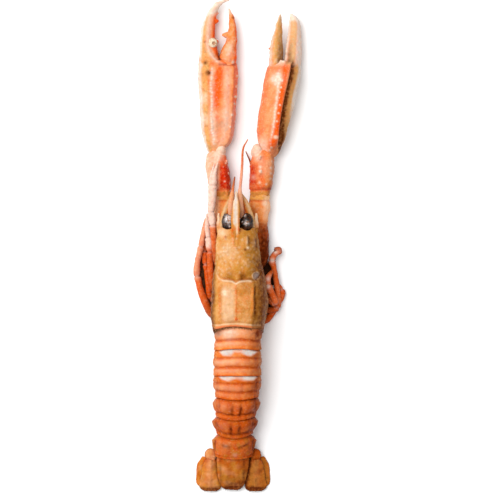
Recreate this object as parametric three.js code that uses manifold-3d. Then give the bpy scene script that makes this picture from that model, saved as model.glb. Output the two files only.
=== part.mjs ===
// A cooked langoustine lying on its belly, tail stretched back and both claws stretched forward.
//
// Millimetres. The claws point along +Y and +Z is up from the table. Left and right are the animal's own, so
// left is -X. The origin lies on the table under the middle of the whole outline. Every shell piece is a solid.
import * as THREE from "three";
import { mergeVertices } from "three/addons/utils/BufferGeometryUtils.js";
import Module from "manifold-3d";

const manifold = await Module();
manifold.setup();

// ---------------------------------------------------------------- driving sizes

const GAP = 0.3; // clear space between two shell pieces that touch
const ROSTRUM_TIP = 33.9; // Y of the foremost point of the body
const HEAD_FRONT = 10.9; // Y of the carapace's front edge, behind the eyes
const CERVICAL_GROOVE = -22.4; // Y of the deep groove across the carapace
const CARAPACE_REAR = -52.5; // Y of the carapace's hind edge, on the back
const FLANK_SWEEP = 1.2; // how far the hind edge trails at the flanks
const TAIL_END = -156.2; // Y of the tail fan's end
const HEAD_LEAN = 0.14; // the head lies rolled: it leans this far left for each millimetre of height
const LEAN_HEIGHT = 15.0; // height at which the rolled head isn't moved

const SHELL_PEACH = 0xeeb072;
const SHELL_ORANGE = 0xf08a44;
const CLAW_ORANGE = 0xf28a50;
const CLAW_RED = 0xe2501c;
const LEG_PINK = 0xe89a74;
const EYE_BLACK = 0x1c1614;
const LIME_WHITE = 0xe9dccb;

// ---------------------------------------------------------------- shaping helpers

const lerp = THREE.MathUtils.lerp;
const clamp = THREE.MathUtils.clamp;
const radians = THREE.MathUtils.degToRad;
const bump = (x, centre, width) => Math.exp(-(((x - centre) / width) ** 2));
const leaned = (x, z) => x - HEAD_LEAN * (z - LEAN_HEIGHT);

// A smooth curve through rows [x, value, value, ...] with rising x, read at any x.
function smooth(rows, x) {
  const last = rows.length - 1;
  const inside = clamp(x, rows[0][0], rows[last][0]);
  const i = clamp(rows.findIndex((row) => row[0] >= inside) - 1, 0, last - 1);
  const slope = (j, k) => {
    const before = rows[Math.max(j - 1, 0)];
    const after = rows[Math.min(j + 1, last)];
    return (after[k] - before[k]) / (after[0] - before[0]);
  };
  const [low, high] = [rows[i], rows[i + 1]];
  const span = high[0] - low[0];
  const u = (inside - low[0]) / span;
  const blend = u * u * (3 - 2 * u);
  return low.slice(1).map((value, n) => {
    const k = n + 1;
    const rise = u * (1 - u) * ((1 - u) * slope(i, k) - u * slope(i + 1, k)) * span;
    return lerp(value, high[k], blend) + rise;
  });
}

// The body's midline bends a little from side to side. Rows: Y, X.
const MIDLINE = [
  [-157, -10.1],
  [-137.6, -9.4],
  [-121, -8.8],
  [-109.4, -8.2],
  [-97, -7.2],
  [-61, -6.6],
  [-45, -5.7],
  [-32, -5.2],
  [-11, -5.7],
  [11, -6.5],
  [36, -6.3],
];
const bodyX = (y) => smooth(MIDLINE, y)[0];

// The solid inside a closed geometry.
function solid(geometry) {
  geometry.deleteAttribute("normal");
  geometry.deleteAttribute("uv");
  const closed = mergeVertices(geometry, 1e-4);
  return new manifold.Manifold(
    new manifold.Mesh({
      numProp: 3,
      vertProperties: new Float32Array(closed.getAttribute("position").array),
      triVerts: new Uint32Array(closed.getIndex().array),
    }),
  );
}

// A closed skin over cross-sections. place(t, angle, reach) returns a point: t runs from 0 to 1 along the
// piece, angle goes round the section, and reach is 1 on the skin and 0 in the middle of an end face.
function skin(sides, steps, place) {
  const tube = new THREE.CylinderGeometry(1, 1, 1, sides, steps);
  const point = tube.getAttribute("position");
  for (let i = 0; i < point.count; i += 1) {
    const [across, up] = [point.getX(i), point.getZ(i)].map((value) => Math.round(value * 1e6) / 1e6);
    const angle = Math.atan2(up, across);
    const reach = Math.round(Math.hypot(across, up));
    point.setXYZ(i, ...place(0.5 - point.getY(i), angle, reach));
  }
  return solid(tube);
}

// A point of a rounded box outline, half as wide as a and half as high as b. power 2 is an ellipse.
function outline(angle, a, b, power = 2) {
  const across = Math.cos(angle);
  const up = Math.sin(angle);
  return [
    a * Math.sign(across) * Math.abs(across) ** (2 / power),
    b * Math.sign(up) * Math.abs(up) ** (2 / power),
  ];
}

// A limb piece along stations [x, y, z, half width, half height]. roll turns its section about its length,
// and ridges [angle, height, width] raise keels along it. grown makes the skin thicker all over, as a cutter.
function limb(stations, { sides, steps, power = 2, roll = 0, ridges = [], grown = 0 }) {
  let travelled = 0;
  const rows = stations.map((station, i) => {
    const [x, y, z] = station;
    const [px, py, pz] = stations[Math.max(i - 1, 0)];
    travelled += Math.hypot(x - px, y - py, z - pz);
    return [travelled, ...station];
  });
  const at = (t) => smooth(rows, t * travelled);
  const point = (t) => new THREE.Vector3(...at(t).slice(0, 3));
  return skin(sides, steps, (t, angle, reach) => {
    const ahead = point(Math.min(t + 0.01, 1)).sub(point(Math.max(t - 0.01, 0))).normalize();
    const up = new THREE.Vector3(0, 0, 1).addScaledVector(ahead, -ahead.z).normalize();
    up.applyAxisAngle(ahead, radians(roll));
    const side = new THREE.Vector3().crossVectors(up, ahead);
    const [x, y, z, a, b] = at(t);
    const [across, height] = outline(angle, a + grown, b + grown, power);
    const degrees = THREE.MathUtils.radToDeg(angle);
    const taper = Math.min(a, b) / Math.max(...stations.map((station) => Math.min(station[3], station[4])));
    const raised = ridges.reduce((sum, [where, lift, width]) => {
      const apart = Math.abs(((degrees - where + 540) % 360) - 180);
      return sum + lift * taper * bump(apart, 0, width);
    }, 0);
    const swell = reach * (1 + raised / Math.hypot(across, height));
    const overrun = grown * (t === 0 ? -1 : t === 1 ? 1 : 0);
    return new THREE.Vector3(x, y, z)
      .addScaledVector(side, across * swell)
      .addScaledVector(up, height * swell)
      .addScaledVector(ahead, overrun)
      .toArray();
  });
}

// A thorn or tooth: a five-sided cone with its foot sunk in the shell.
function thorn([x, y, z], direction, radius, height) {
  const cone = new THREE.ConeGeometry(radius, height, 5);
  cone.translate(0, height / 2, 0);
  const turn = new THREE.Quaternion().setFromUnitVectors(
    new THREE.Vector3(0, 1, 0),
    new THREE.Vector3(...direction).normalize(),
  );
  cone.applyQuaternion(turn);
  cone.translate(x, y, z);
  return solid(cone);
}

// A rounded lump, such as a hinge knob or a crushing tooth.
function knob([x, y, z], [a, b, c], sides = 10) {
  const ball = new THREE.SphereGeometry(1, sides, Math.round(sides * 0.6));
  ball.scale(a, b, c);
  ball.translate(x, y, z);
  return solid(ball);
}

const fuse = (...solids) => solids.reduce((whole, piece) => whole.add(piece));
const carve = (whole, ...cutters) => cutters.reduce((left, cutter) => left.subtract(cutter), whole);

// The largest body of a solid, without scraps that a cut left loose.
function largest(whole) {
  return whole.decompose().reduce((best, body) => (body.volume() > best.volume() ? body : best));
}

const langoustine = new THREE.Group();

// A group of neighbouring pieces, placed at its joint with the rest of the animal.
function region(name, place) {
  const group = new THREE.Group();
  group.name = name;
  group.position.set(...place);
  langoustine.add(group);
  return group;
}

// Adds a shell piece to its region as a named mesh, placed at the middle of its own box. What would reach
// below the table is cut off flat.
function shell(group, name, whole, color, roughness = 0.45) {
  const { vertProperties, triVerts, numProp } = largest(whole.trimByPlane([0, 0, 1], 0)).getMesh();
  const shared = new THREE.BufferGeometry();
  const points = new THREE.InterleavedBuffer(vertProperties, numProp);
  shared.setAttribute("position", new THREE.InterleavedBufferAttribute(points, 3, 0));
  shared.setIndex(new THREE.BufferAttribute(triVerts, 1));
  const geometry = shared.toNonIndexed();
  geometry.computeBoundingBox();
  const place = geometry.boundingBox.getCenter(new THREE.Vector3());
  geometry.translate(-place.x, -place.y, -place.z);
  geometry.computeVertexNormals();
  const material = new THREE.MeshStandardMaterial({ color, roughness, metalness: 0 });
  const mesh = new THREE.Mesh(geometry, material);
  mesh.name = name;
  mesh.position.copy(place).sub(group.position);
  group.add(mesh);
}

// ---------------------------------------------------------------- carapace and rostrum

// Rows: distance behind the front edge, half width, height of the back, height of the lower edge.
const CARAPACE_ROWS = [
  [0, 11.8, 25.0, 13.5],
  [8, 13.3, 28.2, 11.5],
  [22, 14.4, 30.2, 8.2],
  [33.3, 16.4, 30.8, 5.2],
  [46, 17.7, 31.8, 3.8],
  [56, 17.4, 31.8, 3.6],
  [63.4, 15.9, 30.4, 4.2],
];
const CARAPACE_LENGTH = HEAD_FRONT - CARAPACE_REAR;
const KEEL_ANGLE = 30; // a side keel lies this many degrees from the middle of the back

// How far the skin rises at a point of the carapace: keels on the back, the groove across it, the hind rim.
function carapaceRelief(y, fromTop) {
  const behindGroove = y < CERVICAL_GROOVE - 4 ? 1 : 0;
  const keels = 0.7 * bump(fromTop, 0, 6) + 0.9 * behindGroove * bump(Math.abs(fromTop), KEEL_ANGLE, 6);
  const groove = -1.3 * bump(y, CERVICAL_GROOVE - 0.06 * Math.abs(fromTop) + 2, 2.4);
  const rimGroove = -0.7 * bump(y, CARAPACE_REAR + 4.2, 1.6);
  return keels + groove + rimGroove;
}

function carapaceSkin(grown = 0) {
  return skin(30, 18, (t, angle, reach) => {
    const [halfWidth, top, bottom] = smooth(CARAPACE_ROWS, t * CARAPACE_LENGTH);
    const sweep = FLANK_SWEEP * t ** 6 * (1 - Math.sin(angle)) ** 0.8;
    const overrun = grown * (t === 0 ? 1 : t === 1 ? -1 : 0);
    const y = HEAD_FRONT - t * CARAPACE_LENGTH;
    const middle = (top + bottom) / 2;
    const [across, up] = outline(angle, halfWidth + grown, (top - bottom) / 2 + grown, 2.4);
    const fromTop = THREE.MathUtils.radToDeg(angle) - 90;
    const raised = carapaceRelief(y, fromTop) * Math.min(1, 6 * t) + 1;
    const swell = reach * (1 + (raised - 1) / Math.hypot(across, up));
    const z = middle + up * swell;
    return [leaned(bodyX(y) + across * swell, z), y + overrun - sweep * reach, z];
  });
}

// The toothed beak between the eyes, from the back of the head to its tip.
const ROSTRUM_STATIONS = [
  [leaned(bodyX(0), 26.8), -1.0, 26.8, 3.6, 1.6],
  [leaned(bodyX(8), 27.0), 8.0, 27.0, 3.2, 1.8],
  [leaned(bodyX(14), 27.6), 14.4, 27.6, 2.5, 1.9],
  [leaned(bodyX(24), 28.8), 24.0, 28.8, 1.9, 1.6],
  [leaned(bodyX(34), 29.6), ROSTRUM_TIP, 29.6, 0.4, 0.5],
];

function rostrum() {
  const blade = limb(ROSTRUM_STATIONS, { sides: 8, steps: 8, power: 1.8 });
  const teeth = [];
  for (const side of [-1, 1]) {
    for (let i = 0; i < 3; i += 1) {
      const y = 15.5 + 5.2 * i;
      const foot = [leaned(bodyX(y), 28) + side * (1.9 - 0.45 * i), y, 27.8 + 0.6 * i];
      teeth.push(thorn(foot, [side * 0.6, 1, 0.15], 0.7, 2.6 - 0.3 * i));
    }
  }
  return fuse(blade, ...teeth);
}

// Thorns behind the eyes and at the corners of the head: offset from the midline, Y, Z, height.
const HEAD_THORNS = [
  [6.0, 2.6, 27.4, 2.4],
  [10.2, 1.6, 24.2, 2.6],
  [11.2, 9.2, 20.0, 3.0],
];

function headThorns() {
  return HEAD_THORNS.flatMap(([offset, y, z, height]) =>
    [-1, 1].map((side) => {
      const foot = [leaned(bodyX(y) + side * offset, z), y, z];
      return thorn(foot, [side * 0.2, 1, 0.25], 0.9, height);
    }),
  );
}

// ---------------------------------------------------------------- belly plate

// The narrow plate between the legs. It is flat below, where the animal rests on the table.
const BELLY_ROWS = [
  [0, 4.5, 9.6, 4.0],
  [12, 6.0, 7.4, 1.6],
  [24, 7.2, 4.8, -0.2],
  [34, 7.6, 3.4, -0.3],
  [52, 6.6, 3.2, -0.3],
];
const BELLY_FRONT = 3.0;
const BELLY_LENGTH = 52;

function bellyPlate(grown = 0) {
  return skin(12, 8, (t, angle, reach) => {
    const [halfWidth, top, bottom] = smooth(BELLY_ROWS, t * BELLY_LENGTH);
    const y = BELLY_FRONT + grown - t * (BELLY_LENGTH + 2 * grown);
    const [across, up] = outline(angle, halfWidth + grown, (top - bottom) / 2 + grown, 5);
    return [bodyX(y) + across * reach, y, (top + bottom) / 2 + up * reach];
  });
}

// ---------------------------------------------------------------- tail segments

// One row for each segment, from the front: Y of its hind edge, half width across its side lobes, half width
// at its hind edge, and how far its side lobes hang.
const SEGMENTS = [
  [-66.6, 14.8, 14.6, 2.6],
  [-83.6, 15.4, 15.0, 4.6],
  [-99.0, 15.5, 13.9, 4.8],
  [-112.0, 15.1, 12.4, 4.4],
  [-123.8, 14.6, 10.9, 3.4],
  [-137.6, 14.1, 12.5, 1.6],
];
// Rows: distance behind the origin, height of the back, height of the belly side, slope of the back.
const TAIL_ROWS = [
  [-CARAPACE_REAR, 28.6, 6.5, 0],
  [66.6, 28.8, 6.2, 0],
  [83.6, 28.0, 6.0, 4],
  [99.0, 26.2, 5.6, 10],
  [112.0, 22.6, 5.2, 18],
  [123.8, 18.0, 4.4, 25],
  [137.6, 10.6, 2.2, 28],
];
const RIM_RISE = 0.6; // a hind rim stands this far over the next segment
const LOBE_PLACE = 0.3; // the side lobes are widest this far along a segment

function tailSegment(index, grown = 0) {
  const front = index === 0 ? CARAPACE_REAR : SEGMENTS[index - 1][0];
  const [rear, lobeWidth, rearWidth, drop] = SEGMENTS[index];
  const neckWidth = (index === 0 ? lobeWidth : SEGMENTS[index - 1][2]) - 0.6;
  return skin(20, 7, (t, angle, reach) => {
    const along = lerp(front - GAP / 2 + grown, rear + GAP / 2 - grown, t);
    const [top, bottom, slope] = smooth(TAIL_ROWS, -along);
    const rise = RIM_RISE * (bump(t, 1, 0.16) + 0.7 * bump(t, 0.5, 0.2)) - 0.5 * bump(t, 0.76, 0.07);
    const fromNeck = clamp(t / LOBE_PLACE, 0, 1);
    const toRear = clamp((t - LOBE_PLACE) / (1 - LOBE_PLACE), 0, 1);
    const backWidth = lerp(neckWidth, rearWidth, t);
    const fromLobe = lerp(lobeWidth, rearWidth, toRear);
    const widest = fromNeck < 1 ? lerp(neckWidth, lobeWidth, fromNeck ** 0.7) : fromLobe;
    const [across, up] = outline(angle, backWidth + grown, (top - bottom) / 2 + grown, 2.5);
    const low = clamp(0.35 - Math.sin(angle) * 1.6, 0, 1) * Math.abs(Math.cos(angle)) ** 0.5;
    const swell = reach * (1 + (rise * (up > 0 ? 1 : 0.4)) / Math.hypot(across, up));
    const sideways = across * swell + Math.sign(across) * (widest - backWidth) * low * reach;
    const lobe = Math.sin(Math.PI * clamp(t * 1.05, 0, 1)) ** 0.8;
    const below = clamp(-Math.sin(angle) * 2.2, 0, 1);
    const z = (top + bottom) / 2 + up * swell - drop * lobe * below * low * reach;
    const lean = 0.55 * Math.tan(radians(slope)) * (z - top);
    const sweep = index === 0 ? FLANK_SWEEP * (1 - t) ** 4 * (1 - Math.sin(angle)) ** 0.8 : 0;
    const y = along - lean - sweep * reach;
    return [bodyX(y) + sideways, y, z];
  });
}

// ---------------------------------------------------------------- tail fan

// A plate of the tail fan: rows [distance from its root, half width, half thickness, shift sideways].
function fanPlate({ root, end, rows, crown = 0.6, keel = 0, grown = 0 }) {
  const length = Math.hypot(end[0] - root[0], end[1] - root[1], end[2] - root[2]);
  const ahead = new THREE.Vector3(...end).sub(new THREE.Vector3(...root)).normalize();
  const up = new THREE.Vector3(0, 0, 1).addScaledVector(ahead, -ahead.z).normalize();
  const side = new THREE.Vector3().crossVectors(up, ahead);
  return skin(12, 6, (t, angle, reach) => {
    const [halfWidth, halfThickness, shift] = smooth(rows, t * rows[rows.length - 1][0]);
    const [across, thick] = outline(angle, halfWidth + grown, halfThickness + grown, 2.6);
    const dome = crown * (1 - (across / halfWidth) ** 2) + keel * bump(across, 0, 1.4);
    return new THREE.Vector3(...root)
      .addScaledVector(ahead, t * length + grown * (2 * t - 1))
      .addScaledVector(side, across * reach + shift)
      .addScaledVector(up, thick * reach + dome)
      .toArray();
  });
}

const TELSON = {
  root: [bodyX(-138) - 0.3, SEGMENTS[5][0] - GAP, 7.4],
  end: [bodyX(-156), TAIL_END, 3.2],
  rows: [
    [0, 10.4, 1.7, 0],
    [6, 10.3, 1.7, 0],
    [14, 9.2, 1.3, 0],
    [18.4, 8.2, 0.8, 0],
    [19.4, 6.8, 0.5, 0],
  ],
  crown: 0.9,
  keel: 0.3,
};

// Each side of the fan: the inner and the outer blade and the root block that carries both. side is -1 on
// the left.
function fanSide(side) {
  const middle = bodyX(-147);
  const inner = {
    root: [middle + side * 11.8, -138.6, 3.4],
    end: [middle + side * 15.6, -157.2, 1.4],
    rows: [
      [0, 2.8, 1.0, 0],
      [5, 5.4, 1.0, 0],
      [12, 6.3, 0.9, 0],
      [17, 5.9, 0.7, 0],
      [19.4, 4.0, 0.5, 0],
    ],
  };
  const outer = {
    root: [middle + side * 16.4, -136.4, 0.7],
    end: [middle + side * 19.2, -155.8, 0.3],
    rows: [
      [0, 2.4, 0.8, 0],
      [5, 4.8, 0.8, 0],
      [12, 4.9, 0.7, 0],
      [17, 4.6, 0.6, 0],
      [19.8, 3.2, 0.4, 0],
    ],
    crown: 0.3,
  };
  const root = knob([middle + side * 14.2, -134.0, 3.2], [3.8, 4.4, 2.6], 8);
  return {
    inner: fanPlate(inner),
    outer: fanPlate(outer),
    root: carve(root, fanPlate({ ...inner, grown: GAP }), fanPlate({ ...outer, grown: GAP })),
  };
}

// ---------------------------------------------------------------- eyes, feelers and their scales

// The kidney-shaped eyes stand on short stalks, one on each side of the beak.
const EYE_STALK_ROWS = (side) => [
  [leaned(bodyX(12) + side * 3.6, 20.6), 12.0, 20.6, 1.7, 1.7],
  [leaned(bodyX(14) + side * 5.2, 21.6), 13.6, 21.6, 2.2, 2.2],
];

function eye(side, grown = 0) {
  const stalk = limb(EYE_STALK_ROWS(side), { sides: 8, steps: 2, grown });
  const ball = new THREE.SphereGeometry(1, 14, 9);
  ball.scale(3.9 + grown, 5.4 + grown, 4.2 + grown);
  ball.rotateZ(radians(side * -12));
  ball.translate(leaned(bodyX(14) + side * 6.4, 22.6) + 0.4, 14.2, 22.6);
  return fuse(stalk, solid(ball));
}

// Each scale is a narrow blade from beside the eye to the tip of the beak.
const SCALES = {
  left: [
    [-17.6, 9.0, 18.4, 2.0, 1.4],
    [-17.2, 15.0, 19.0, 2.3, 1.3],
    [-15.4, 21.5, 20.4, 2.2, 1.2],
    [-12.8, 27.0, 22.0, 1.6, 1.0],
    [-10.8, 31.0, 23.2, 0.5, 0.5],
  ],
  right: [
    [3.6, 9.0, 18.4, 2.0, 1.4],
    [3.6, 15.0, 19.0, 2.3, 1.3],
    [1.6, 21.5, 20.4, 2.2, 1.2],
    [-1.4, 27.5, 22.0, 1.6, 1.0],
    [-4.0, 32.0, 23.2, 0.5, 0.5],
  ],
};

const SCALE_SHAPE = { sides: 8, steps: 8 };

// The thorned foot of each feeler stands out beside the eye.
function feelerFoot(side) {
  const x = side < 0 ? -17.8 : 5.4;
  return fuse(
    knob([x, 10.6, 14.6], [2.4, 4.2, 2.6], 10),
    thorn([x + side * 0.4, 12.0, 15.2], [side * 0.25, 1, 0.3], 1.7, 8.0),
  );
}

// The bent mouth legs under the head.
const mouthLegStations = (side) => [
  [bodyX(4) + side * 3.6, 4.6, 8.2, 2.0, 2.4],
  [bodyX(10) + side * 4.0, 11.0, 12.4, 1.8, 2.6],
  [bodyX(18) + side * 3.4, 19.0, 14.6, 1.6, 2.2],
  [bodyX(22) + side * 2.8, 23.6, 12.4, 1.5, 1.8],
  [bodyX(20) + side * 2.4, 25.0, 8.4, 1.2, 1.2],
];

// The feelers that are left: thin whips with the half thickness of each station last.
const whip = (points) => points.map(([x, y, z, radius]) => [x, y, z, radius, radius]);
const FEELERS = {
  feeler_front_left: whip([
    [-10.6, 18.0, 22.6, 1.4],
    [-10.4, 25.0, 25.6, 1.4],
    [-9.8, 33.0, 26.6, 1.3],
    [-8.5, 42.9, 26.2, 0.4],
  ]),
  feeler_front_right: whip([
    [-4.4, 19.5, 23.4, 1.2],
    [-4.9, 27.0, 26.0, 1.4],
    [-4.6, 40.3, 26.4, 1.0],
    [-3.8, 51.2, 24.6, 0.8],
    [-3.2, 60.8, 22.0, 0.6],
    [-0.3, 66.6, 20.4, 0.35],
  ]),
  feeler_long_right: whip([
    [0.4, 12.0, 13.2, 1.1],
    [-0.6, 30.1, 9.4, 0.8],
    [-1.2, 39.7, 7.0, 0.65],
    [-0.8, 52.0, 4.6, 0.55],
    [-1.6, 59.8, 3.4, 0.35],
  ]),
};

// ---------------------------------------------------------------- claws

// Each claw piece runs from the wrist forward. Rows: x, y, z, half width, half height.
const CLAWS = {
  left: {
    side: -1,
    roll: 4,
    palm: [
      [-21.2, 58.4, 6.2, 3.2, 3.2],
      [-21.5, 61.4, 6.3, 4.8, 4.2],
      [-20.7, 65.0, 6.4, 7.2, 5.4],
      [-19.8, 68.6, 6.2, 9.0, 6.0],
      [-19.4, 76.8, 6.4, 10.2, 6.6],
      [-19.2, 92.8, 6.6, 11.3, 6.8],
      [-19.1, 105.6, 6.6, 12.2, 6.8],
      [-19.1, 112.4, 6.5, 12.3, 6.2],
      [-19.9, 117.0, 6.6, 10.4, 4.8],
    ],
    finger: [
      [-25.2, 108.0, 7.0, 6.4, 6.2],
      [-25.0, 118.4, 6.8, 6.6, 5.6],
      [-25.6, 126.0, 6.4, 5.4, 4.9],
      [-25.7, 132.0, 6.2, 4.6, 4.4],
      [-25.3, 138.5, 6.0, 4.1, 3.9],
      [-23.7, 145.0, 5.8, 3.5, 3.4],
      [-21.4, 150.4, 5.6, 2.4, 2.6],
      [-17.8, 154.4, 5.4, 1.5, 1.6],
      [-12.4, 156.6, 5.2, 0.4, 0.4],
    ],
    thumb: [
      [-11.6, 114.6, 7.2, 4.0, 4.2],
      [-12.8, 119.4, 7.4, 5.6, 5.2],
      [-11.9, 124.4, 7.2, 4.6, 4.8],
      [-10.6, 129.8, 6.8, 3.5, 4.2],
      [-10.1, 137.6, 6.4, 2.5, 3.4],
      [-10.5, 144.0, 6.0, 1.8, 2.6],
      [-12.4, 150.6, 5.6, 0.4, 0.5],
    ],
    wrist: [
      [-15.8, 30.4, 6.0, 4.6, 4.2],
      [-16.6, 35.0, 6.4, 6.2, 5.4],
      [-18.1, 43.0, 6.9, 7.2, 6.4],
      [-19.2, 50.0, 6.9, 7.2, 6.4],
      [-19.5, 56.0, 6.7, 6.4, 5.8],
      [-19.4, 59.6, 6.5, 4.6, 4.4],
    ],
    arm: [
      [-16.2, 32.2, 5.8, 5.4, 4.8],
      [-16.2, 25.6, 5.8, 5.9, 5.2],
      [-17.0, 12.8, 5.8, 5.2, 4.8],
      [-17.0, 0, 5.2, 4.6, 4.2],
      [-15.2, -9.0, 4.4, 3.8, 3.6],
      [-13.6, -13.6, 4.0, 3.2, 3.2],
    ],
    wristKnob: [[-17.6, 60.4, 7.8], [3.4, 4.4, 4.0]],
  },
  right: {
    side: 1,
    roll: -24,
    palm: [
      [13.2, 56.4, 7.2, 3.2, 3.4],
      [13.9, 60.2, 7.6, 5.6, 5.2],
      [14.2, 66.0, 8.2, 8.2, 7.0],
      [15.4, 76.8, 8.8, 9.6, 8.0],
      [18.2, 89.6, 8.8, 10.3, 8.2],
      [20.6, 102.4, 8.8, 10.6, 8.2],
      [22.2, 110.7, 8.6, 10.3, 7.6],
      [23.4, 116.2, 8.0, 8.8, 5.4],
    ],
    finger: [
      [27.2, 106.0, 7.6, 5.6, 6.4],
      [28.2, 117.1, 7.2, 5.1, 6.0],
      [28.7, 124.8, 6.8, 4.8, 5.4],
      [29.2, 131.2, 6.4, 4.4, 4.8],
      [29.6, 137.6, 6.0, 3.8, 4.0],
      [29.0, 142.8, 5.6, 2.8, 3.0],
      [27.5, 147.4, 5.2, 0.6, 0.6],
    ],
    thumb: [
      [17.7, 112.6, 9.0, 4.0, 4.6],
      [17.8, 118.4, 9.2, 4.2, 5.0],
      [18.0, 124.8, 9.0, 3.9, 4.6],
      [18.3, 129.9, 8.6, 3.4, 4.0],
      [19.2, 136.3, 8.0, 2.3, 3.1],
      [19.8, 141.8, 7.4, 1.5, 2.2],
      [20.5, 146.8, 6.8, 0.4, 0.5],
    ],
    wrist: [
      [7.6, 30.6, 6.2, 5.4, 4.6],
      [7.9, 35.4, 6.8, 7.4, 6.0],
      [8.9, 43.6, 7.5, 8.0, 7.0],
      [9.4, 51.2, 7.5, 8.2, 7.0],
      [9.8, 57.0, 7.3, 7.2, 6.2],
      [10.0, 60.0, 7.1, 5.4, 4.8],
    ],
    arm: [
      [7.6, 32.2, 6.2, 6.2, 5.4],
      [7.2, 25.6, 6.2, 6.7, 5.6],
      [7.2, 14.7, 6.0, 5.3, 5.0],
      [8.2, 3.2, 5.6, 4.7, 4.4],
      [9.0, -7.0, 5.0, 3.9, 3.9],
      [6.8, -13.2, 4.4, 3.3, 3.3],
    ],
    wristKnob: [[5.4, 59.6, 8.6], [3.8, 4.6, 4.6]],
  },
};
const PALM_RIDGES = [
  [-5, 0.7, 14],
  [185, 0.7, 14],
  [62, 0.9, 11],
  [128, 0.9, 11],
];
const THORN_STEP = 6.0; // spacing of the thorns along a palm's inner edge

// Thorns in a row along the inner edge of a palm, which faces the other claw.
function palmThorns({ side, palm }, z) {
  const thorns = [];
  for (let y = 70; y < 114; y += THORN_STEP) {
    const rows = palm.map(([x, stationY, , halfWidth]) => [stationY, x, halfWidth]);
    const [x, halfWidth] = smooth(rows, y);
    thorns.push(thorn([x - side * (halfWidth - 0.2), y, z], [-side, 0.7, 0.2], 1.0, 2.0));
  }
  return thorns;
}

// The teeth on the biting edges: foot, direction, radius and height.
const FINGER_TEETH = {
  left: [
    [[-21.4, 143.4, 6.0], [1, 0.05, 0], 1.9, 4.6],
    [[-20.6, 147.2, 5.8], [1, 0.3, 0], 1.3, 2.6],
    [[-20.8, 129.4, 6.4], [1, 0, 0], 2.6, 2.6],
  ],
  right: [
    [[25.4, 132.0, 6.6], [-1, 0.3, 0], 1.1, 1.8],
    [[25.0, 126.0, 6.8], [-1, 0.3, 0], 1.1, 1.8],
  ],
};
const THUMB_TEETH = {
  left: [[[-12.2, 133.8, 6.6], [-1, 0.12, 0], 2.3, 4.6]],
  right: [[[15.8, 128.6, 9.0], [-1, 0.45, 0], 1.5, 3.2]],
};
const WRIST_THORNS = {
  left: [[-13.2, 52.0, 9.6], [-12.2, 44.0, 9.4], [-12.0, 37.4, 8.6]],
  right: [[14.6, 56.4, 10.4], [14.8, 51.6, 10.8], [14.6, 46.4, 10.6], [7.0, 54.6, 14.0], [7.2, 45.2, 14.0]],
};

const ARM_SHAPE = { sides: 12, steps: 8, power: 2.3 };

// One whole claw, with each piece cut clear of the one before it.
function clawPieces(name) {
  const claw = CLAWS[name];
  const { side, roll } = claw;
  const fingerShape = { sides: 10, steps: 10, power: 2.2, roll };
  const palmShape = { sides: 16, steps: 11, power: 2.4, roll, ridges: PALM_RIDGES };
  const palm = limb(claw.palm, palmShape);
  const finger = limb(claw.finger, fingerShape);
  const fingerTeeth = FINGER_TEETH[name].map((tooth) => thorn(...tooth));
  const thumb = limb(claw.thumb, fingerShape);
  const thumbTeeth = THUMB_TEETH[name].map((tooth) => thorn(...tooth));
  const thumbCutter = limb(claw.thumb, { ...fingerShape, grown: GAP });
  const edge = palmThorns(claw, side < 0 ? 7.8 : 6.6);
  const hand = carve(fuse(palm, finger, ...fingerTeeth, ...edge), thumbCutter);
  const palmCutter = limb(claw.palm, { ...palmShape, grown: GAP });
  const wristShape = { sides: 12, steps: 6, power: 2.4 };
  const thorns = WRIST_THORNS[name].map((foot) => thorn(foot, [0.35, 0.8, 0.7], 1.0, 2.4));
  const wristBody = fuse(limb(claw.wrist, wristShape), knob(...claw.wristKnob, 10), ...thorns);
  const wrist = carve(wristBody, palmCutter);
  const wristCutter = limb(claw.wrist, { ...wristShape, grown: GAP });
  const arm = limb(claw.arm, ARM_SHAPE);
  return { hand, thumb: fuse(thumb, ...thumbTeeth), wrist, arm: carve(arm, wristCutter) };
}

// An acorn barnacle that has settled on the left claw, beside its crushing tooth.
const BARNACLE = { x: -22.9, y: 129.6, foot: 9.9, radius: 2.9, height: 2.2, mouth: 1.2, depth: 0.7 };

function barnacle(grown = 0) {
  const { mouth, depth } = BARNACLE;
  const radius = BARNACLE.radius + grown;
  const height = BARNACLE.height + 2 * grown;
  const profile = [
    [0, 0],
    [radius, 0],
    [radius * 0.9, height * 0.45],
    [mouth * 1.35, height],
    [mouth, height - 0.1],
    [mouth * 0.7, height - depth],
    [0, height - depth],
  ];
  const wall = new THREE.LatheGeometry(profile.map(([r, z]) => new THREE.Vector2(r, z)), 10);
  wall.rotateX(Math.PI / 2);
  wall.translate(BARNACLE.x, BARNACLE.y, BARNACLE.foot - grown);
  return solid(wall);
}

// ---------------------------------------------------------------- walking legs

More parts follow.
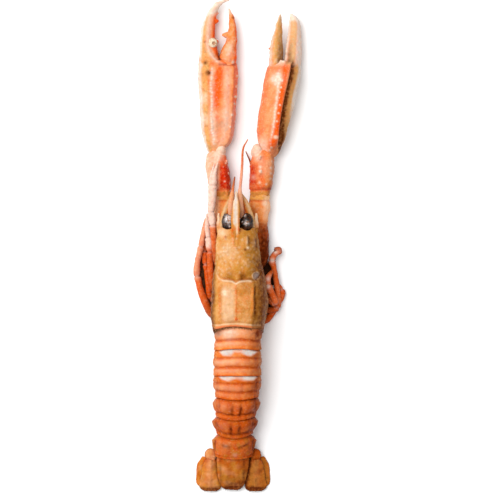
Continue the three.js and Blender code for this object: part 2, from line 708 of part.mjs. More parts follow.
// Every walking leg, from its root under the carapace to its tip. The last number is the half thickness.
const WALKING_LEGS = {
  walking_leg_1_left: [
    [-15.6, -19.0, 3.2, 2.2],
    [-19.6, -12.0, 6.4, 2.2],
    [-21.6, 2.0, 10.6, 2.1],
    [-22.6, 12.6, 13.4, 2.0],
    [-22.9, 16.0, 13.8, 2.4],
    [-23.6, 21.0, 14.0, 2.1],
    [-22.9, 27.6, 14.6, 2.5],
    [-22.4, 38.0, 15.2, 2.7],
    [-21.4, 45.0, 15.4, 1.5],
    [-19.3, 52.4, 15.2, 0.4],
  ],
  walking_leg_2_left: [
    [-15.6, -27.0, 2.6, 2.2],
    [-21.6, -28.6, 3.8, 2.2],
    [-23.8, -18.0, 5.6, 2.1],
    [-24.6, -4.4, 7.4, 1.9],
    [-24.7, -1.4, 7.8, 2.3],
    [-25.4, 5.0, 8.0, 1.9],
    [-26.2, 13.0, 8.4, 1.6],
    [-26.4, 20.0, 8.6, 0.4],
  ],
  walking_leg_3_left: [
    [-15.6, -34.0, 2.2, 2.0],
    [-23.6, -34.0, 2.2, 1.9],
    [-25.8, -23.0, 2.4, 1.8],
    [-27.4, -12.4, 2.6, 1.6],
    [-27.7, -9.8, 2.6, 1.9],
    [-28.0, -4.0, 2.4, 1.4],
    [-27.6, 6.4, 1.8, 0.4],
  ],
  walking_leg_4_left: [
    [-14.6, -42.0, 2.4, 2.3],
    [-22.4, -45.0, 2.4, 2.4],
    [-29.6, -31.4, 2.4, 2.3],
    [-32.6, -20.0, 2.6, 1.9],
    [-32.9, -16.4, 2.8, 2.2],
    [-32.4, -11.0, 3.6, 1.9],
    [-30.2, -1.0, 5.2, 1.8],
    [-28.6, 8.0, 6.0, 1.6],
    [-27.4, 17.0, 6.4, 0.4],
  ],
  walking_leg_1_right: [
    [3.4, -19.0, 2.2, 2.0],
    [2.6, -8.0, 2.0, 1.9],
    [0.2, 6.0, 2.0, 1.7],
    [-0.4, 8.0, 2.1, 2.0],
    [-2.6, 17.0, 1.8, 1.5],
    [-4.6, 27.0, 1.2, 0.35],
  ],
  walking_leg_2_right: [
    [3.8, -27.0, 2.4, 2.1],
    [11.0, -33.0, 6.0, 2.0],
    [17.0, -36.8, 9.0, 2.2],
    [15.2, -31.6, 9.8, 1.9],
    [12.4, -25.6, 10.8, 2.2],
    [12.4, -21.4, 11.0, 1.9],
    [15.4, -16.4, 10.6, 0.8],
  ],
  walking_leg_3_right: [
    [3.8, -35.0, 2.2, 2.0],
    [11.6, -41.4, 3.2, 2.1],
    [18.2, -39.6, 4.2, 2.2],
    [18.6, -30.0, 4.4, 1.9],
    [16.4, -15.0, 4.6, 1.8],
    [15.2, -9.8, 4.8, 2.2],
    [17.0, -5.8, 5.4, 1.9],
    [20.0, -3.2, 5.8, 2.0],
    [16.4, -2.4, 5.8, 1.0],
  ],
  walking_leg_4_right: [
    [3.4, -44.0, 2.2, 2.1],
    [10.4, -48.4, 2.2, 2.1],
    [16.6, -41.4, 2.0, 1.9],
    [21.6, -31.4, 2.0, 2.1],
    [21.0, -28.4, 2.0, 1.6],
    [18.6, -24.0, 1.8, 0.5],
  ],
};

// The second finger of the small pincer on a front walking leg.
const LEG_PINCER = [
  [-23.6, 36.6, 15.4, 1.5, 1.5],
  [-23.6, 43.0, 15.8, 1.1, 1.1],
  [-21.6, 51.4, 16.2, 0.3, 0.3],
];

function walkingLeg(stations, grown = 0) {
  return limb(whip(stations), { sides: 7, steps: 13, grown });
}

// ---------------------------------------------------------------- assembly

const head = region("head", [bodyX(HEAD_FRONT), HEAD_FRONT, 0]);
const tail = region("tail", [bodyX(CARAPACE_REAR), CARAPACE_REAR, 0]);
const fan = region("tail_fan", [bodyX(TELSON.root[1]), TELSON.root[1], 0]);
const legs = region("walking_legs", [bodyX(BELLY_FRONT), BELLY_FRONT, 0]);

const carapaceCutter = carapaceSkin(GAP);
const bellyCutter = bellyPlate(GAP);
const eyeCutters = [eye(-1, GAP), eye(1, GAP)];
const armCutters = Object.values(CLAWS).map((claw) => limb(claw.arm, { ...ARM_SHAPE, grown: GAP }));

const carapace = fuse(carapaceSkin(), rostrum(), ...headThorns());
shell(head, "carapace", carve(carapace, ...eyeCutters), SHELL_PEACH);
shell(head, "belly_plate", carve(bellyPlate(), carapaceCutter), SHELL_PEACH, 0.6);
SEGMENTS.forEach((segment, index) => {
  shell(tail, `tail_segment_${index + 1}`, tailSegment(index), SHELL_ORANGE);
});
shell(fan, "telson", fanPlate(TELSON), SHELL_ORANGE);

const lastSegmentCutter = tailSegment(SEGMENTS.length - 1, GAP);
for (const [name, claw] of Object.entries(CLAWS)) {
  const { side } = claw;
  const { inner, outer, root } = fanSide(side);
  shell(fan, `tail_fan_inner_${name}`, carve(inner, lastSegmentCutter), SHELL_ORANGE);
  shell(fan, `tail_fan_outer_${name}`, carve(outer, lastSegmentCutter), SHELL_ORANGE);
  shell(fan, `tail_fan_root_${name}`, carve(root, lastSegmentCutter), SHELL_ORANGE);

  const scale = limb(SCALES[name], SCALE_SHAPE);
  const scaleCutter = limb(SCALES[name], { ...SCALE_SHAPE, grown: GAP });
  const mouthLeg = limb(mouthLegStations(side), { sides: 8, steps: 8 });
  shell(head, `eye_${name}`, eye(side), EYE_BLACK, 0.15);
  shell(head, `feeler_scale_${name}`, carve(scale, carapaceCutter, ...eyeCutters), SHELL_PEACH);
  shell(head, `feeler_foot_${name}`, carve(feelerFoot(side), carapaceCutter, scaleCutter), SHELL_PEACH);
  shell(head, `mouth_leg_${name}`, carve(mouthLeg, carapaceCutter, bellyCutter, ...armCutters), LEG_PINK);

  const clawGroup = region(`claw_${name}`, claw.palm[0].slice(0, 3));
  const { hand, thumb, wrist, arm } = clawPieces(name);
  shell(clawGroup, `claw_hand_${name}`, side < 0 ? carve(hand, barnacle(GAP)) : hand, CLAW_ORANGE);
  shell(clawGroup, `claw_thumb_${name}`, thumb, CLAW_ORANGE);
  shell(clawGroup, `claw_wrist_${name}`, wrist, CLAW_RED);
  shell(clawGroup, `claw_arm_${name}`, carve(arm, carapaceCutter, bellyCutter), CLAW_ORANGE);
  if (side < 0) {
    shell(clawGroup, "barnacle", barnacle(), LIME_WHITE, 0.8);
  }
}
for (const [name, stations] of Object.entries(FEELERS)) {
  const feeler = limb(stations, { sides: 6, steps: 9 });
  shell(head, name, carve(feeler, carapaceCutter, ...eyeCutters), LEG_PINK);
}
const legCutters = [carapaceCutter, bellyCutter, ...armCutters];
for (const [name, stations] of Object.entries(WALKING_LEGS)) {
  const leg = walkingLeg(stations);
  const whole = name === "walking_leg_1_left" ? fuse(leg, limb(LEG_PINCER, { sides: 6, steps: 4 })) : leg;
  shell(legs, name, carve(whole, ...legCutters), LEG_PINK);
  legCutters.push(walkingLeg(stations, GAP));
}

export default langoustine;
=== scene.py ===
# %% [markdown]
# # A cooked langoustine
# The animal lies on its belly with both claws stretched forward. Its hard shell is what the eye reads: pale
# orange, knobbly and a little glossy, with keels, grooves, thorns and rows of small bumps.
#
# This lesson dresses a finished frame of plain solids. Each solid is replaced by a detailed shell piece in
# the same place. A piece starts as a primitive, is cut into rings in edit mode, takes its form from a few
# rows of measured sections, and is finished with modifiers and by small moves of its points.

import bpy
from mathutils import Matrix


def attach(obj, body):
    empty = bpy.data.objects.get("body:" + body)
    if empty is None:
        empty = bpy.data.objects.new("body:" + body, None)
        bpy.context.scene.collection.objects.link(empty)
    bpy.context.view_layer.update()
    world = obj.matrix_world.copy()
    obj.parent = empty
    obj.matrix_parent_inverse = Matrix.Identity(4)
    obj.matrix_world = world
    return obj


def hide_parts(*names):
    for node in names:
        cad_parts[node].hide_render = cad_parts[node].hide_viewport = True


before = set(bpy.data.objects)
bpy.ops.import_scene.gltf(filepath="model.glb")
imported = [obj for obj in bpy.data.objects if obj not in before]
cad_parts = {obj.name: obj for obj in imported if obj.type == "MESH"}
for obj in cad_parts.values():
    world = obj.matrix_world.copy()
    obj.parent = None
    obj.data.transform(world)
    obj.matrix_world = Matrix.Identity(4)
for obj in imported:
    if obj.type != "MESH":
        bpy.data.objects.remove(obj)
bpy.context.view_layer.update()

# %% Libraries and units
import math

import bpy
import numpy as np
from mathutils import Vector

MM = 0.001  # the tables below are in millimetres, and Blender's unit is the metre

# %% [markdown]
# ## Curves through rows
# A shell piece is easiest to describe by a handful of sections: how wide and how high it is at a few
# places. A spline object could hold them, but a table is shorter and can be read anywhere. `read_rows`
# draws a smooth curve through the rows of such a table.

# %% Read a table of rows at any place
def read_rows(rows, where):
    """Values of a smooth curve through rows [place, value, value, ...], one line of values for each place."""
    table = np.array(rows, float)
    place, values = table[:, 0], table[:, 1:]
    last = len(place) - 1
    inside = np.clip(np.asarray(where, float), place[0], place[-1])
    low = np.clip(np.searchsorted(place, inside) - 1, 0, last - 1)
    before = np.maximum(np.arange(last + 1) - 1, 0)
    after = np.minimum(np.arange(last + 1) + 1, last)
    slope = (values[after] - values[before]) / (place[after] - place[before])[:, None]
    span = (place[low + 1] - place[low])[:, None]
    u = (inside - place[low])[:, None] / span
    blend = u * u * (3 - 2 * u)
    rise = u * (1 - u) * ((1 - u) * slope[low] - u * slope[low + 1]) * span
    return values[low] * (1 - blend) + values[low + 1] * blend + rise


def bump(x, centre, width):
    """A smooth hill of height 1."""
    return np.exp(-(((x - centre) / width) ** 2))


def step(x, low, high):
    """Rises smoothly from 0 at low to 1 at high, and falls where low is the larger."""
    u = np.clip((x - low) / (high - low), 0, 1)
    return u * u * (3 - 2 * u)


def band(x, low, high, soft):
    """1 between low and high, with soft edges."""
    return step(x, low - soft, low + soft) * (1 - step(x, high - soft, high + soft))


# The body's middle line bends a little from side to side. Rows: Y, X.
MIDLINE = [
    [-157, -10.1], [-137.6, -9.4], [-121, -8.8], [-109.4, -8.2], [-97, -7.2], [-61, -6.6],
    [-45, -5.7], [-32, -5.2], [-11, -5.7], [11, -6.5], [36, -6.3],
]
HEAD_LEAN = 0.14  # the head lies rolled: it leans this far left for each millimetre of height
LEAN_HEIGHT = 15.0  # the height at which the rolled head isn't moved


def body_x(y):
    """X of the body's middle line."""
    shape = np.shape(y)
    return read_rows(MIDLINE, np.atleast_1d(y))[:, 0].reshape(shape)


def leaned(x, z):
    """X of a point of the head after the roll of the head."""
    return x - HEAD_LEAN * (z - LEAN_HEIGHT)


print("the middle of the back is at X", round(float(body_x(-45)), 2), "mm where the carapace is widest")

# %% [markdown]
# ## Working on one piece
# Blender's operators act on all that is selected, so every step begins by selecting one object alone. The
# points are then read into an array, moved by arithmetic, and written back: the coded form of sculpting.

# %% Select, read and write one piece
def only(piece):
    """Selects one object alone and makes it the active one."""
    bpy.ops.object.select_all(action="DESELECT")
    piece.select_set(True)
    bpy.context.view_layer.objects.active = piece


def read_points(piece):
    """The piece's points, in millimetres."""
    flat = np.empty(len(piece.data.vertices) * 3)
    piece.data.vertices.foreach_get("co", flat)
    return flat.reshape(-1, 3) / MM


def write_points(piece, points):
    """Puts the piece's points where the array says, in millimetres."""
    piece.data.vertices.foreach_set("co", (np.asarray(points) * MM).ravel())
    piece.data.update()


def read_normals(piece):
    """The direction in which the skin faces at each point."""
    flat = np.empty(len(piece.data.vertices) * 3)
    piece.data.vertices.foreach_get("normal", flat)
    return flat.reshape(-1, 3)


def lift(piece, height):
    """Moves each point out along its normal, by a height in millimetres."""
    write_points(piece, read_points(piece) + read_normals(piece) * np.asarray(height)[:, None])


def paint(piece, **masks):
    """Stores named masks from 0 to 1 on the points, where the materials read them."""
    for name, values in masks.items():
        layer = piece.data.attributes.get(name) or piece.data.attributes.new(name, "FLOAT", "POINT")
        layer.data.foreach_set("value", np.clip(values, 0, 1).astype(np.float32))


def read_mask(piece, name):
    """A mask's value at each point."""
    values = np.empty(len(piece.data.vertices), np.float32)
    piece.data.attributes[name].data.foreach_get("value", values)
    return values.astype(float)


def apply(piece, kind, **settings):
    """Adds a modifier with these settings and applies it at once."""
    only(piece)
    modifier = piece.modifiers.new(kind.title(), kind)
    for name, value in settings.items():
        setattr(modifier, name, value)
    bpy.ops.object.modifier_apply(modifier=modifier.name)


def face_outwards(piece):
    """Turns every face of a closed piece outwards."""
    only(piece)
    bpy.ops.object.mode_set(mode="EDIT")
    bpy.ops.mesh.select_all(action="SELECT")
    bpy.ops.mesh.normals_make_consistent(inside=False)
    bpy.ops.object.mode_set(mode="OBJECT")


# %% [markdown]
# ## A rod cut into rings
# Nearly every piece of a langoustine is a tube that changes its section: the body, a claw, a leg, a feeler.
# It could be drawn as a curve with a bevel, but a curve keeps one section all along. So the start is a
# cylinder primitive whose long edges are subdivided into rings. Then `loft` sends each point to its place:
# t runs along the rod, the angle goes round it, and reach is 1 on the skin and 0 in the middle of an end.

# %% Cut a rod and loft it
MOST_CUTS = 60  # one subdivide call makes at most this many cuts


def rod(name, sides, rings):
    """A unit rod along Z, its long edges cut so that it has about this many rings."""
    bpy.ops.object.select_all(action="DESELECT")
    bpy.ops.mesh.primitive_cylinder_add(vertices=sides, radius=1, depth=1, end_fill_type="TRIFAN")
    piece = bpy.context.active_object
    piece.name = piece.data.name = name
    first = min(rings, MOST_CUTS)
    for cuts, length in ((first, 1.0), (round(rings / first) - 1, 1.0 / (first + 1))):
        if cuts < 1:
            continue
        heights = read_points(piece)[:, 2] * MM
        ends = np.empty(len(piece.data.edges) * 2, int)
        piece.data.edges.foreach_get("vertices", ends)
        apart = np.abs(np.diff(heights[ends.reshape(-1, 2)], axis=1)).ravel()
        bpy.ops.object.mode_set(mode="EDIT")
        bpy.ops.mesh.select_mode(type="EDGE")
        bpy.ops.mesh.select_all(action="DESELECT")
        bpy.ops.object.mode_set(mode="OBJECT")
        piece.data.edges.foreach_set("select", apart > length / 2)
        bpy.ops.object.mode_set(mode="EDIT")
        bpy.ops.mesh.subdivide(number_cuts=cuts)
        bpy.ops.object.mode_set(mode="OBJECT")
    return piece


def loft(name, sides, rings, place):
    """A closed skin: place(t, angle, reach) gives the points in millimetres."""
    piece = rod(name, sides, rings)
    unit = read_points(piece) * MM
    reach = np.round(np.hypot(unit[:, 0], unit[:, 1]))
    angle = np.arctan2(unit[:, 1], unit[:, 0])
    paint(piece, along=unit[:, 2] + 0.5)
    write_points(piece, place(unit[:, 2] + 0.5, angle, reach))
    face_outwards(piece)
    return piece


def outline(angle, half_width, half_height, power):
    """A point of a rounded box outline. A power of 2 is an ellipse, and more is squarer."""
    across, up = np.cos(angle), np.sin(angle)
    return (
        half_width * np.sign(across) * np.abs(across) ** (2 / power),
        half_height * np.sign(up) * np.abs(up) ** (2 / power),
    )


# %% [markdown]
# ## Limbs
# A limb follows stations: a place, and how wide and high the limb is there. `course` turns the stations
# into a fine path that also knows which way is ahead, right and up. The same path is used twice. It first
# places the points of the skin, and afterwards tells of any point how far along and how far across the
# limb it lies, so that ridges and colours can be put where the real shell has them.

# %% A path along a limb
PATH_SAMPLES = 240


def unit_rows(vectors):
    """Each row made one long."""
    return vectors / np.linalg.norm(vectors, axis=1)[:, None]


def course(stations, roll=0.0):
    """The path through stations [x, y, z, half width, half height]. roll turns its section, in degrees."""
    table = np.array(stations, float)
    legs = np.linalg.norm(np.diff(table[:, :3], axis=0), axis=1)
    travelled = np.concatenate([[0], np.cumsum(legs)])
    along = np.linspace(0, travelled[-1], PATH_SAMPLES)
    values = read_rows(np.column_stack([travelled, table]), along)
    ahead = unit_rows(np.gradient(values[:, :3], axis=0))
    up = unit_rows(np.array([0, 0, 1.0]) - ahead * ahead[:, 2:])
    turn = math.radians(roll)
    up = up * math.cos(turn) + np.cross(ahead, up) * math.sin(turn)
    return {
        "along": along, "middle": values[:, :3], "ahead": ahead, "up": up,
        "right": np.cross(ahead, up), "half": values[:, 3:5], "stations": travelled,
    }


def sample(path, part, share):
    """A value of the path at these shares of its length."""
    where = np.asarray(share) * path["along"][-1]
    columns = path[part].T
    return np.column_stack([np.interp(where, path["along"], column) for column in columns])


def limb(name, path, sides, rings, power=2.0, relief=None):
    """A closed limb. relief(distance along, angle) raises its skin by some millimetres."""

    def place(t, angle, reach):
        half = np.maximum(sample(path, "half", t), 0.05)
        across, height = outline(angle, half[:, 0], half[:, 1], power)
        raised = relief(t * path["along"][-1], angle) if relief else 0
        swell = reach * (1 + raised / np.hypot(across, height))
        right, up = sample(path, "right", t), sample(path, "up", t)
        middle = sample(path, "middle", t)
        return middle + right * (across * swell)[:, None] + up * (height * swell)[:, None]

    return loft(name, sides, rings, place)


def on_path(path, points):
    """Of each point: its distance along the path, and how far right and up it lies, in half widths."""
    along, right, up = [], [], []
    for chunk in np.array_split(points, max(1, len(points) // 8000)):
        gaps = ((chunk[:, None, :] - path["middle"][None]) ** 2).sum(axis=2)
        near = gaps.argmin(axis=1)
        away = chunk - path["middle"][near]
        half = path["half"][near]
        along.append(path["along"][near] + (away * path["ahead"][near]).sum(axis=1))
        right.append((away * path["right"][near]).sum(axis=1) / half[:, 0])
        up.append((away * path["up"][near]).sum(axis=1) / half[:, 1])
    return np.concatenate(along), np.concatenate(right), np.concatenate(up)


# %% [markdown]
# ## Melting pieces together
# A claw grows its fixed finger, its teeth and its thorns out of one shell, with soft fillets between them.
# A Boolean union would leave hard seams. Voxel Remesh gives one even skin over all the parts, and a little
# smoothing rounds the seams, so that is how the compound pieces are made. Thorns are cones, and low bumps
# are raised afterwards from the even skin.

# %% Thorns, joined skins and bumps
THORN_SIDES = 16


def thorn(foot, direction, radius, height):
    """A pointed cone whose foot is sunk in the shell."""
    aim = Vector(direction).normalized()
    middle = Vector(foot) + aim * (height / 2)
    bpy.ops.object.select_all(action="DESELECT")
    bpy.ops.mesh.primitive_cone_add(
        vertices=THORN_SIDES, radius1=radius * MM, radius2=radius * 0.22 * MM, depth=height * MM,
        location=middle * MM, rotation=aim.to_track_quat("Z", "Y").to_euler(),
    )
    bpy.ops.object.transform_apply(location=True, rotation=True, scale=True)
    return bpy.context.active_object


def ball(middle, radii, turn=0.0):
    """A stretched ball. turn is about Z, in degrees."""
    bpy.ops.object.select_all(action="DESELECT")
    bpy.ops.mesh.primitive_uv_sphere_add(
        segments=32, ring_count=20, radius=MM, location=Vector(middle) * MM,
        rotation=(0, 0, math.radians(turn)), scale=radii,
    )
    bpy.ops.object.transform_apply(location=True, rotation=True, scale=True)
    return bpy.context.active_object


def join(name, parts):
    """Joins objects into one, with this name."""
    only(parts[0])
    for part in parts[1:]:
        part.select_set(True)
    bpy.ops.object.join()
    parts[0].name = parts[0].data.name = name
    return parts[0]


def melt(name, parts, voxel, rounds=3):
    """One even skin over all the parts, with its seams rounded. voxel is the size of its faces, in mm."""
    piece = join(name, parts)
    apply(piece, "REMESH", mode="VOXEL", voxel_size=voxel * MM, adaptivity=0.0)
    apply(piece, "SMOOTH", factor=0.5, iterations=rounds)
    return piece


def scatter(points, where, count, seed):
    """Some of the points, drawn at random from those where the mask holds."""
    chance = np.random.default_rng(seed)
    inside = np.flatnonzero(where)
    return points[chance.choice(inside, min(count, len(inside)), replace=False)]


def bumps(points, feet, radius):
    """Rounded bumps of height 1 on these feet, at each point. A foot without Z is seen from above."""
    raised = np.zeros(len(points))
    for foot in np.atleast_2d(feet):
        near = np.flatnonzero(np.abs(points[:, 1] - foot[1]) < 2.5 * radius)
        apart = np.linalg.norm(points[near, :len(foot)] - foot, axis=1)
        raised[near] = np.maximum(raised[near], np.exp(-((apart / radius) ** 2)))
    return raised


def marks(points, rows):
    """The sum of rounded marks seen from above. Rows: X, Y, radius, strength."""
    return sum(strength * bumps(points, [x, y], radius) for x, y, radius, strength in rows)


def uneven(points, size, seed):
    """A soft random waviness between about -1 and 1, with waves of about this size in millimetres."""
    chance = np.random.default_rng(seed)
    total = np.zeros(len(points))
    for _ in range(12):
        direction = chance.normal(size=3)
        direction *= chance.uniform(0.7, 1.4) * 2 * math.pi / size / np.linalg.norm(direction)
        total += np.sin(points @ direction + chance.uniform(0, 2 * math.pi))
    return total / 4


# %% [markdown]
# ## Finishes
# Cooked shell isn't one orange. The colour lies in clouds a few millimetres wide, with pale specks on the
# tips of bumps and redder keels. A painted picture could hold that, but it would need an image file. Here
# noise in three sizes makes the clouds and specks, and the masks painted on each piece say where the shell
# is blushed, pale or shaded. The mask shade holds brown marks and also painted shade: browner hollows,
# undersides and sides turned from the light. Some of the pale is painted highlight. The finishes read
# Object coordinates, so they stay on the shell.

# %% Small builders for node trees
def srgb(red, green, blue, depth=1.0):
    """A colour as it looks on a screen, 0 to 255, as the linear colour that a shader wants, times depth."""
    share = np.array([red, green, blue]) / 255
    linear = np.where(share <= 0.04045, share / 12.92, ((share + 0.055) / 1.055) ** 2.4)
    return (*(linear * depth).tolist(), 1.0)


def new_finish(name):
    """An empty material with its node tree and its shader."""
    material = bpy.data.materials.new(name)
    material.use_nodes = True
    return material, material.node_tree, material.node_tree.nodes["Principled BSDF"]


def noise(tree, size, detail=3.0):
    """A noise with clouds of about this size in millimetres. Returns its value from 0 to 1."""
    cloud = tree.nodes.new("ShaderNodeTexNoise")
    cloud.inputs["Scale"].default_value = 1 / (size * MM)
    cloud.inputs["Detail"].default_value = detail
    tree.links.new(tree.nodes.new("ShaderNodeTexCoord").outputs["Object"], cloud.inputs["Vector"])
    return cloud.outputs["Fac"]


def cells(tree, size):
    """The distance to the nearest of many scattered points, about this size in millimetres apart."""
    pattern = tree.nodes.new("ShaderNodeTexVoronoi")
    pattern.inputs["Scale"].default_value = 1 / (size * MM)
    tree.links.new(tree.nodes.new("ShaderNodeTexCoord").outputs["Object"], pattern.inputs["Vector"])
    return pattern.outputs["Distance"]


def spread(tree, value, low, high, to_low=0.0, to_high=1.0):
    """Stretches a value so that low becomes to_low and high becomes to_high, with soft ends."""
    spreader = tree.nodes.new("ShaderNodeMapRange")
    spreader.interpolation_type = "SMOOTHSTEP"
    numbers = (low, high, to_low, to_high)
    for socket, number in zip(("From Min", "From Max", "To Min", "To Max"), numbers):
        spreader.inputs[socket].default_value = number
    tree.links.new(value, spreader.inputs["Value"])
    return spreader.outputs["Result"]


def math_node(tree, operation, first, second):
    """A sum or product of two values. The second may be a plain number."""
    sum_node = tree.nodes.new("ShaderNodeMath")
    sum_node.operation = operation
    sum_node.use_clamp = operation == "MULTIPLY"
    tree.links.new(first, sum_node.inputs[0])
    if isinstance(second, float):
        sum_node.inputs[1].default_value = second
    else:
        tree.links.new(second, sum_node.inputs[1])
    return sum_node.outputs["Value"]


def tint(tree, share, below, above):
    """Lays a colour over another by a share. Each colour is a socket or four numbers."""
    mixer = tree.nodes.new("ShaderNodeMix")
    mixer.data_type = "RGBA"
    colours = [socket for socket in mixer.inputs if socket.type == "RGBA"]
    for socket, colour in zip(colours, (below, above)):
        if isinstance(colour, tuple):
            socket.default_value = colour
        else:
            tree.links.new(colour, socket)
    tree.links.new(share, mixer.inputs["Factor"])
    return next(socket for socket in mixer.outputs if socket.type == "RGBA")


def mask(tree, name):
    """A mask painted on the piece's points."""
    reader = tree.nodes.new("ShaderNodeAttribute")
    reader.attribute_name = name
    return reader.outputs["Fac"]


RELIEF_STRENGTH = 0.6


def relief(tree, shader, height, distance):
    """Fine relief: the shading rises and falls with the height, over a distance in millimetres."""
    bumper = tree.nodes.new("ShaderNodeBump")
    bumper.inputs["Distance"].default_value = distance * MM
    bumper.inputs["Strength"].default_value = RELIEF_STRENGTH
    tree.links.new(height, bumper.inputs["Height"])
    tree.links.new(bumper.outputs["Normal"], shader.inputs["Normal"])


# %% The finish of cooked shell
CLOUD = 4.6  # size of the colour clouds, mm
GRIT = 0.9  # size of the specks and of the fine relief, mm
PIT = 1.5  # spacing of the little pits, mm
FLESH_DEPTH = 1.0  # how far light wanders under the shell, mm
SOFT_SKIN = (222, 210, 202)  # the colour of the soft skin between two rings
SHELL_DEPTH = 0.74  # the colours below are as seen in strong light, and the shell is this much darker


def shell_finish(
    name, ground, second, blush, pale, shade, gold=(222, 152, 72), cloud=CLOUD, dull=0.5, grain=0.22,
):
    """Mottled cooked shell. Each colour is red, green, blue from 0 to 255."""
    material, tree, shader = new_finish(name)
    ground, second, blush, pale, shade, gold, film = (
        srgb(*seen, SHELL_DEPTH) for seen in (ground, second, blush, pale, shade, gold, SOFT_SKIN)
    )
    colour = tint(tree, spread(tree, noise(tree, cloud, 4.0), 0.36, 0.62), ground, second)
    breaks = spread(tree, noise(tree, cloud * 0.4, 4.0), 0.3, 0.68, 0.72, 1.15)
    grit = noise(tree, GRIT, 3.0)
    pits = cells(tree, PIT)
    # shade lays brown marks and painted shade; pale lays pale shell and painted highlights
    layers = {"blush": blush, "gold": gold, "pale": pale, "shade": shade, "film": film}
    for mask_name, over in layers.items():
        colour = tint(tree, math_node(tree, "MULTIPLY", mask(tree, mask_name), breaks), colour, over)
        if mask_name == "gold":
            colour = tint(tree, spread(tree, grit, 0.54, 0.74, 0.0, 0.22), colour, pale)
            colour = tint(tree, spread(tree, grit, 0.46, 0.3, 0.0, 0.35), colour, blush)
            colour = tint(tree, spread(tree, pits, 0.22, 0.1, 0.0, 0.18), colour, shade)
    tree.links.new(colour, shader.inputs["Base Color"])
    gloss = spread(tree, noise(tree, cloud * 0.6), 0.3, 0.7, dull - 0.1, dull + 0.1)
    tree.links.new(gloss, shader.inputs["Roughness"])
    dimples = math_node(tree, "ADD", grit, spread(tree, pits, 0.05, 0.3, 0.0, 0.6))
    relief(tree, shader, dimples, grain)
    shader.inputs["Subsurface Weight"].default_value = 0.06
    shader.inputs["Subsurface Radius"].default_value = (1.0, 0.4, 0.15)
    shader.inputs["Subsurface Scale"].default_value = FLESH_DEPTH * MM
    shader.inputs["Specular IOR Level"].default_value = 0.11
    shader.inputs["Specular Tint"].default_value = srgb(255, 190, 140)
    return material


HEAD_FINISH = shell_finish(
    "head shell", ground=(230, 164, 98), second=(206, 134, 60), blush=(228, 98, 20),
    pale=(248, 220, 186), shade=(108, 50, 4), gold=(206, 142, 48),
)
TAIL_FINISH = shell_finish(
    "tail shell", ground=(248, 150, 76), second=(240, 122, 40), blush=(214, 84, 0),
    pale=(244, 208, 180), shade=(120, 40, 0), gold=(206, 128, 30), cloud=5.5,
)
FAN_FINISH = shell_finish(
    "tail fan shell", ground=(224, 132, 46), second=(196, 100, 20), blush=(206, 84, 8),
    pale=(236, 166, 116), shade=(100, 40, 10), gold=(212, 140, 48), cloud=5.0,
)
CLAW_FINISH = shell_finish(
    "claw shell", ground=(250, 158, 94), second=(248, 136, 62), blush=(252, 90, 0),
    pale=(248, 224, 204), shade=(96, 40, 2), gold=(226, 168, 98), cloud=5.0, dull=0.46,
)
WRIST_FINISH = shell_finish(
    "wrist shell", ground=(250, 144, 86), second=(246, 116, 54), blush=(212, 38, 0),
    pale=(250, 214, 188), shade=(112, 42, 2), gold=(226, 150, 66), cloud=4.0, dull=0.44,
)
ARM_FINISH = shell_finish(
    "arm shell", ground=(255, 172, 104), second=(250, 146, 72), blush=(220, 84, 4),
    pale=(252, 210, 176), shade=(104, 32, 0), gold=(236, 166, 76), cloud=5.0, dull=0.46,
)
LEG_FINISH = shell_finish(
    "leg shell", ground=(240, 146, 92), second=(228, 108, 46), blush=(216, 78, 0),
    pale=(246, 212, 194), shade=(104, 36, 2), cloud=3.4, dull=0.44, grain=0.12,
)
print("made", len([m for m in bpy.data.materials if m.name.endswith("shell")]), "finishes of cooked shell")


# %% Hand a piece over
def dress(piece, finish, node=None):
    """Gives a finished piece its material and its body, and hides the solid that it stands for."""
    points = read_points(piece)
    points[:, 2] = np.maximum(points[:, 2], 0)
    write_points(piece, points)
    piece.data.materials.clear()
    piece.data.materials.append(finish)
    only(piece)
    bpy.ops.object.shade_smooth()
    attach(piece, "root")
    if node:
        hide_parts(node)
    print(piece.name, "has", len(piece.data.polygons), "faces")
    return piece


# %% [markdown]
# ## Carapace
# The carapace is the one big shield over head and chest. It runs out between the eyes into a toothed beak,
# the rostrum. It could be sculpted from a ball, but its sections are known, so it is lofted from a table
# of widths and heights. The hind edge is folded in to make a lip, and the underside is hollow, because the
# real shield hangs open over the legs. The beak and the head's thorns are melted on.

# %% Loft the shield, its beak and its thorns
HEAD_FRONT = 10.9  # Y of the carapace's front edge
CARAPACE_REAR = -51.4  # Y of its hind edge on the back
REAR_BOW = 1.0  # how far the hind edge bows forward in the middle
FLANK_SWEEP = 3.6  # how far the hind edge trails at the flanks
CARAPACE_ROWS = [
    [0, 11.8, 25.0, 13.5], [8, 13.3, 28.2, 11.5], [22, 14.4, 30.2, 8.2], [33.3, 16.4, 30.8, 5.2],
    [46, 17.6, 31.8, 3.8], [53, 17.2, 31.9, 3.6], [58, 16.3, 31.6, 3.8], [63.4, 15.2, 30.4, 4.2],
]  # distance behind the front edge, half width, height of the back, height of the lower edge
LIP = 0.97  # the share of the length at which the hind edge turns in
LIP_DEPTH = 1.6
HOLLOW = 5.0  # how far the underside is drawn up
EYE_SIZE = [4.2, 5.6, 4.3]  # half sizes of an eyeball
SOCKET_SIZE = [4.5, 6.0, 4.7]  # half sizes of the space round it


def eye_middle(side):
    """The middle of an eyeball. side is -1 on the animal's left."""
    return [float(leaned(body_x(14.0) + side * 5.7, 22.6)) + 0.7, 14.2, 22.6]


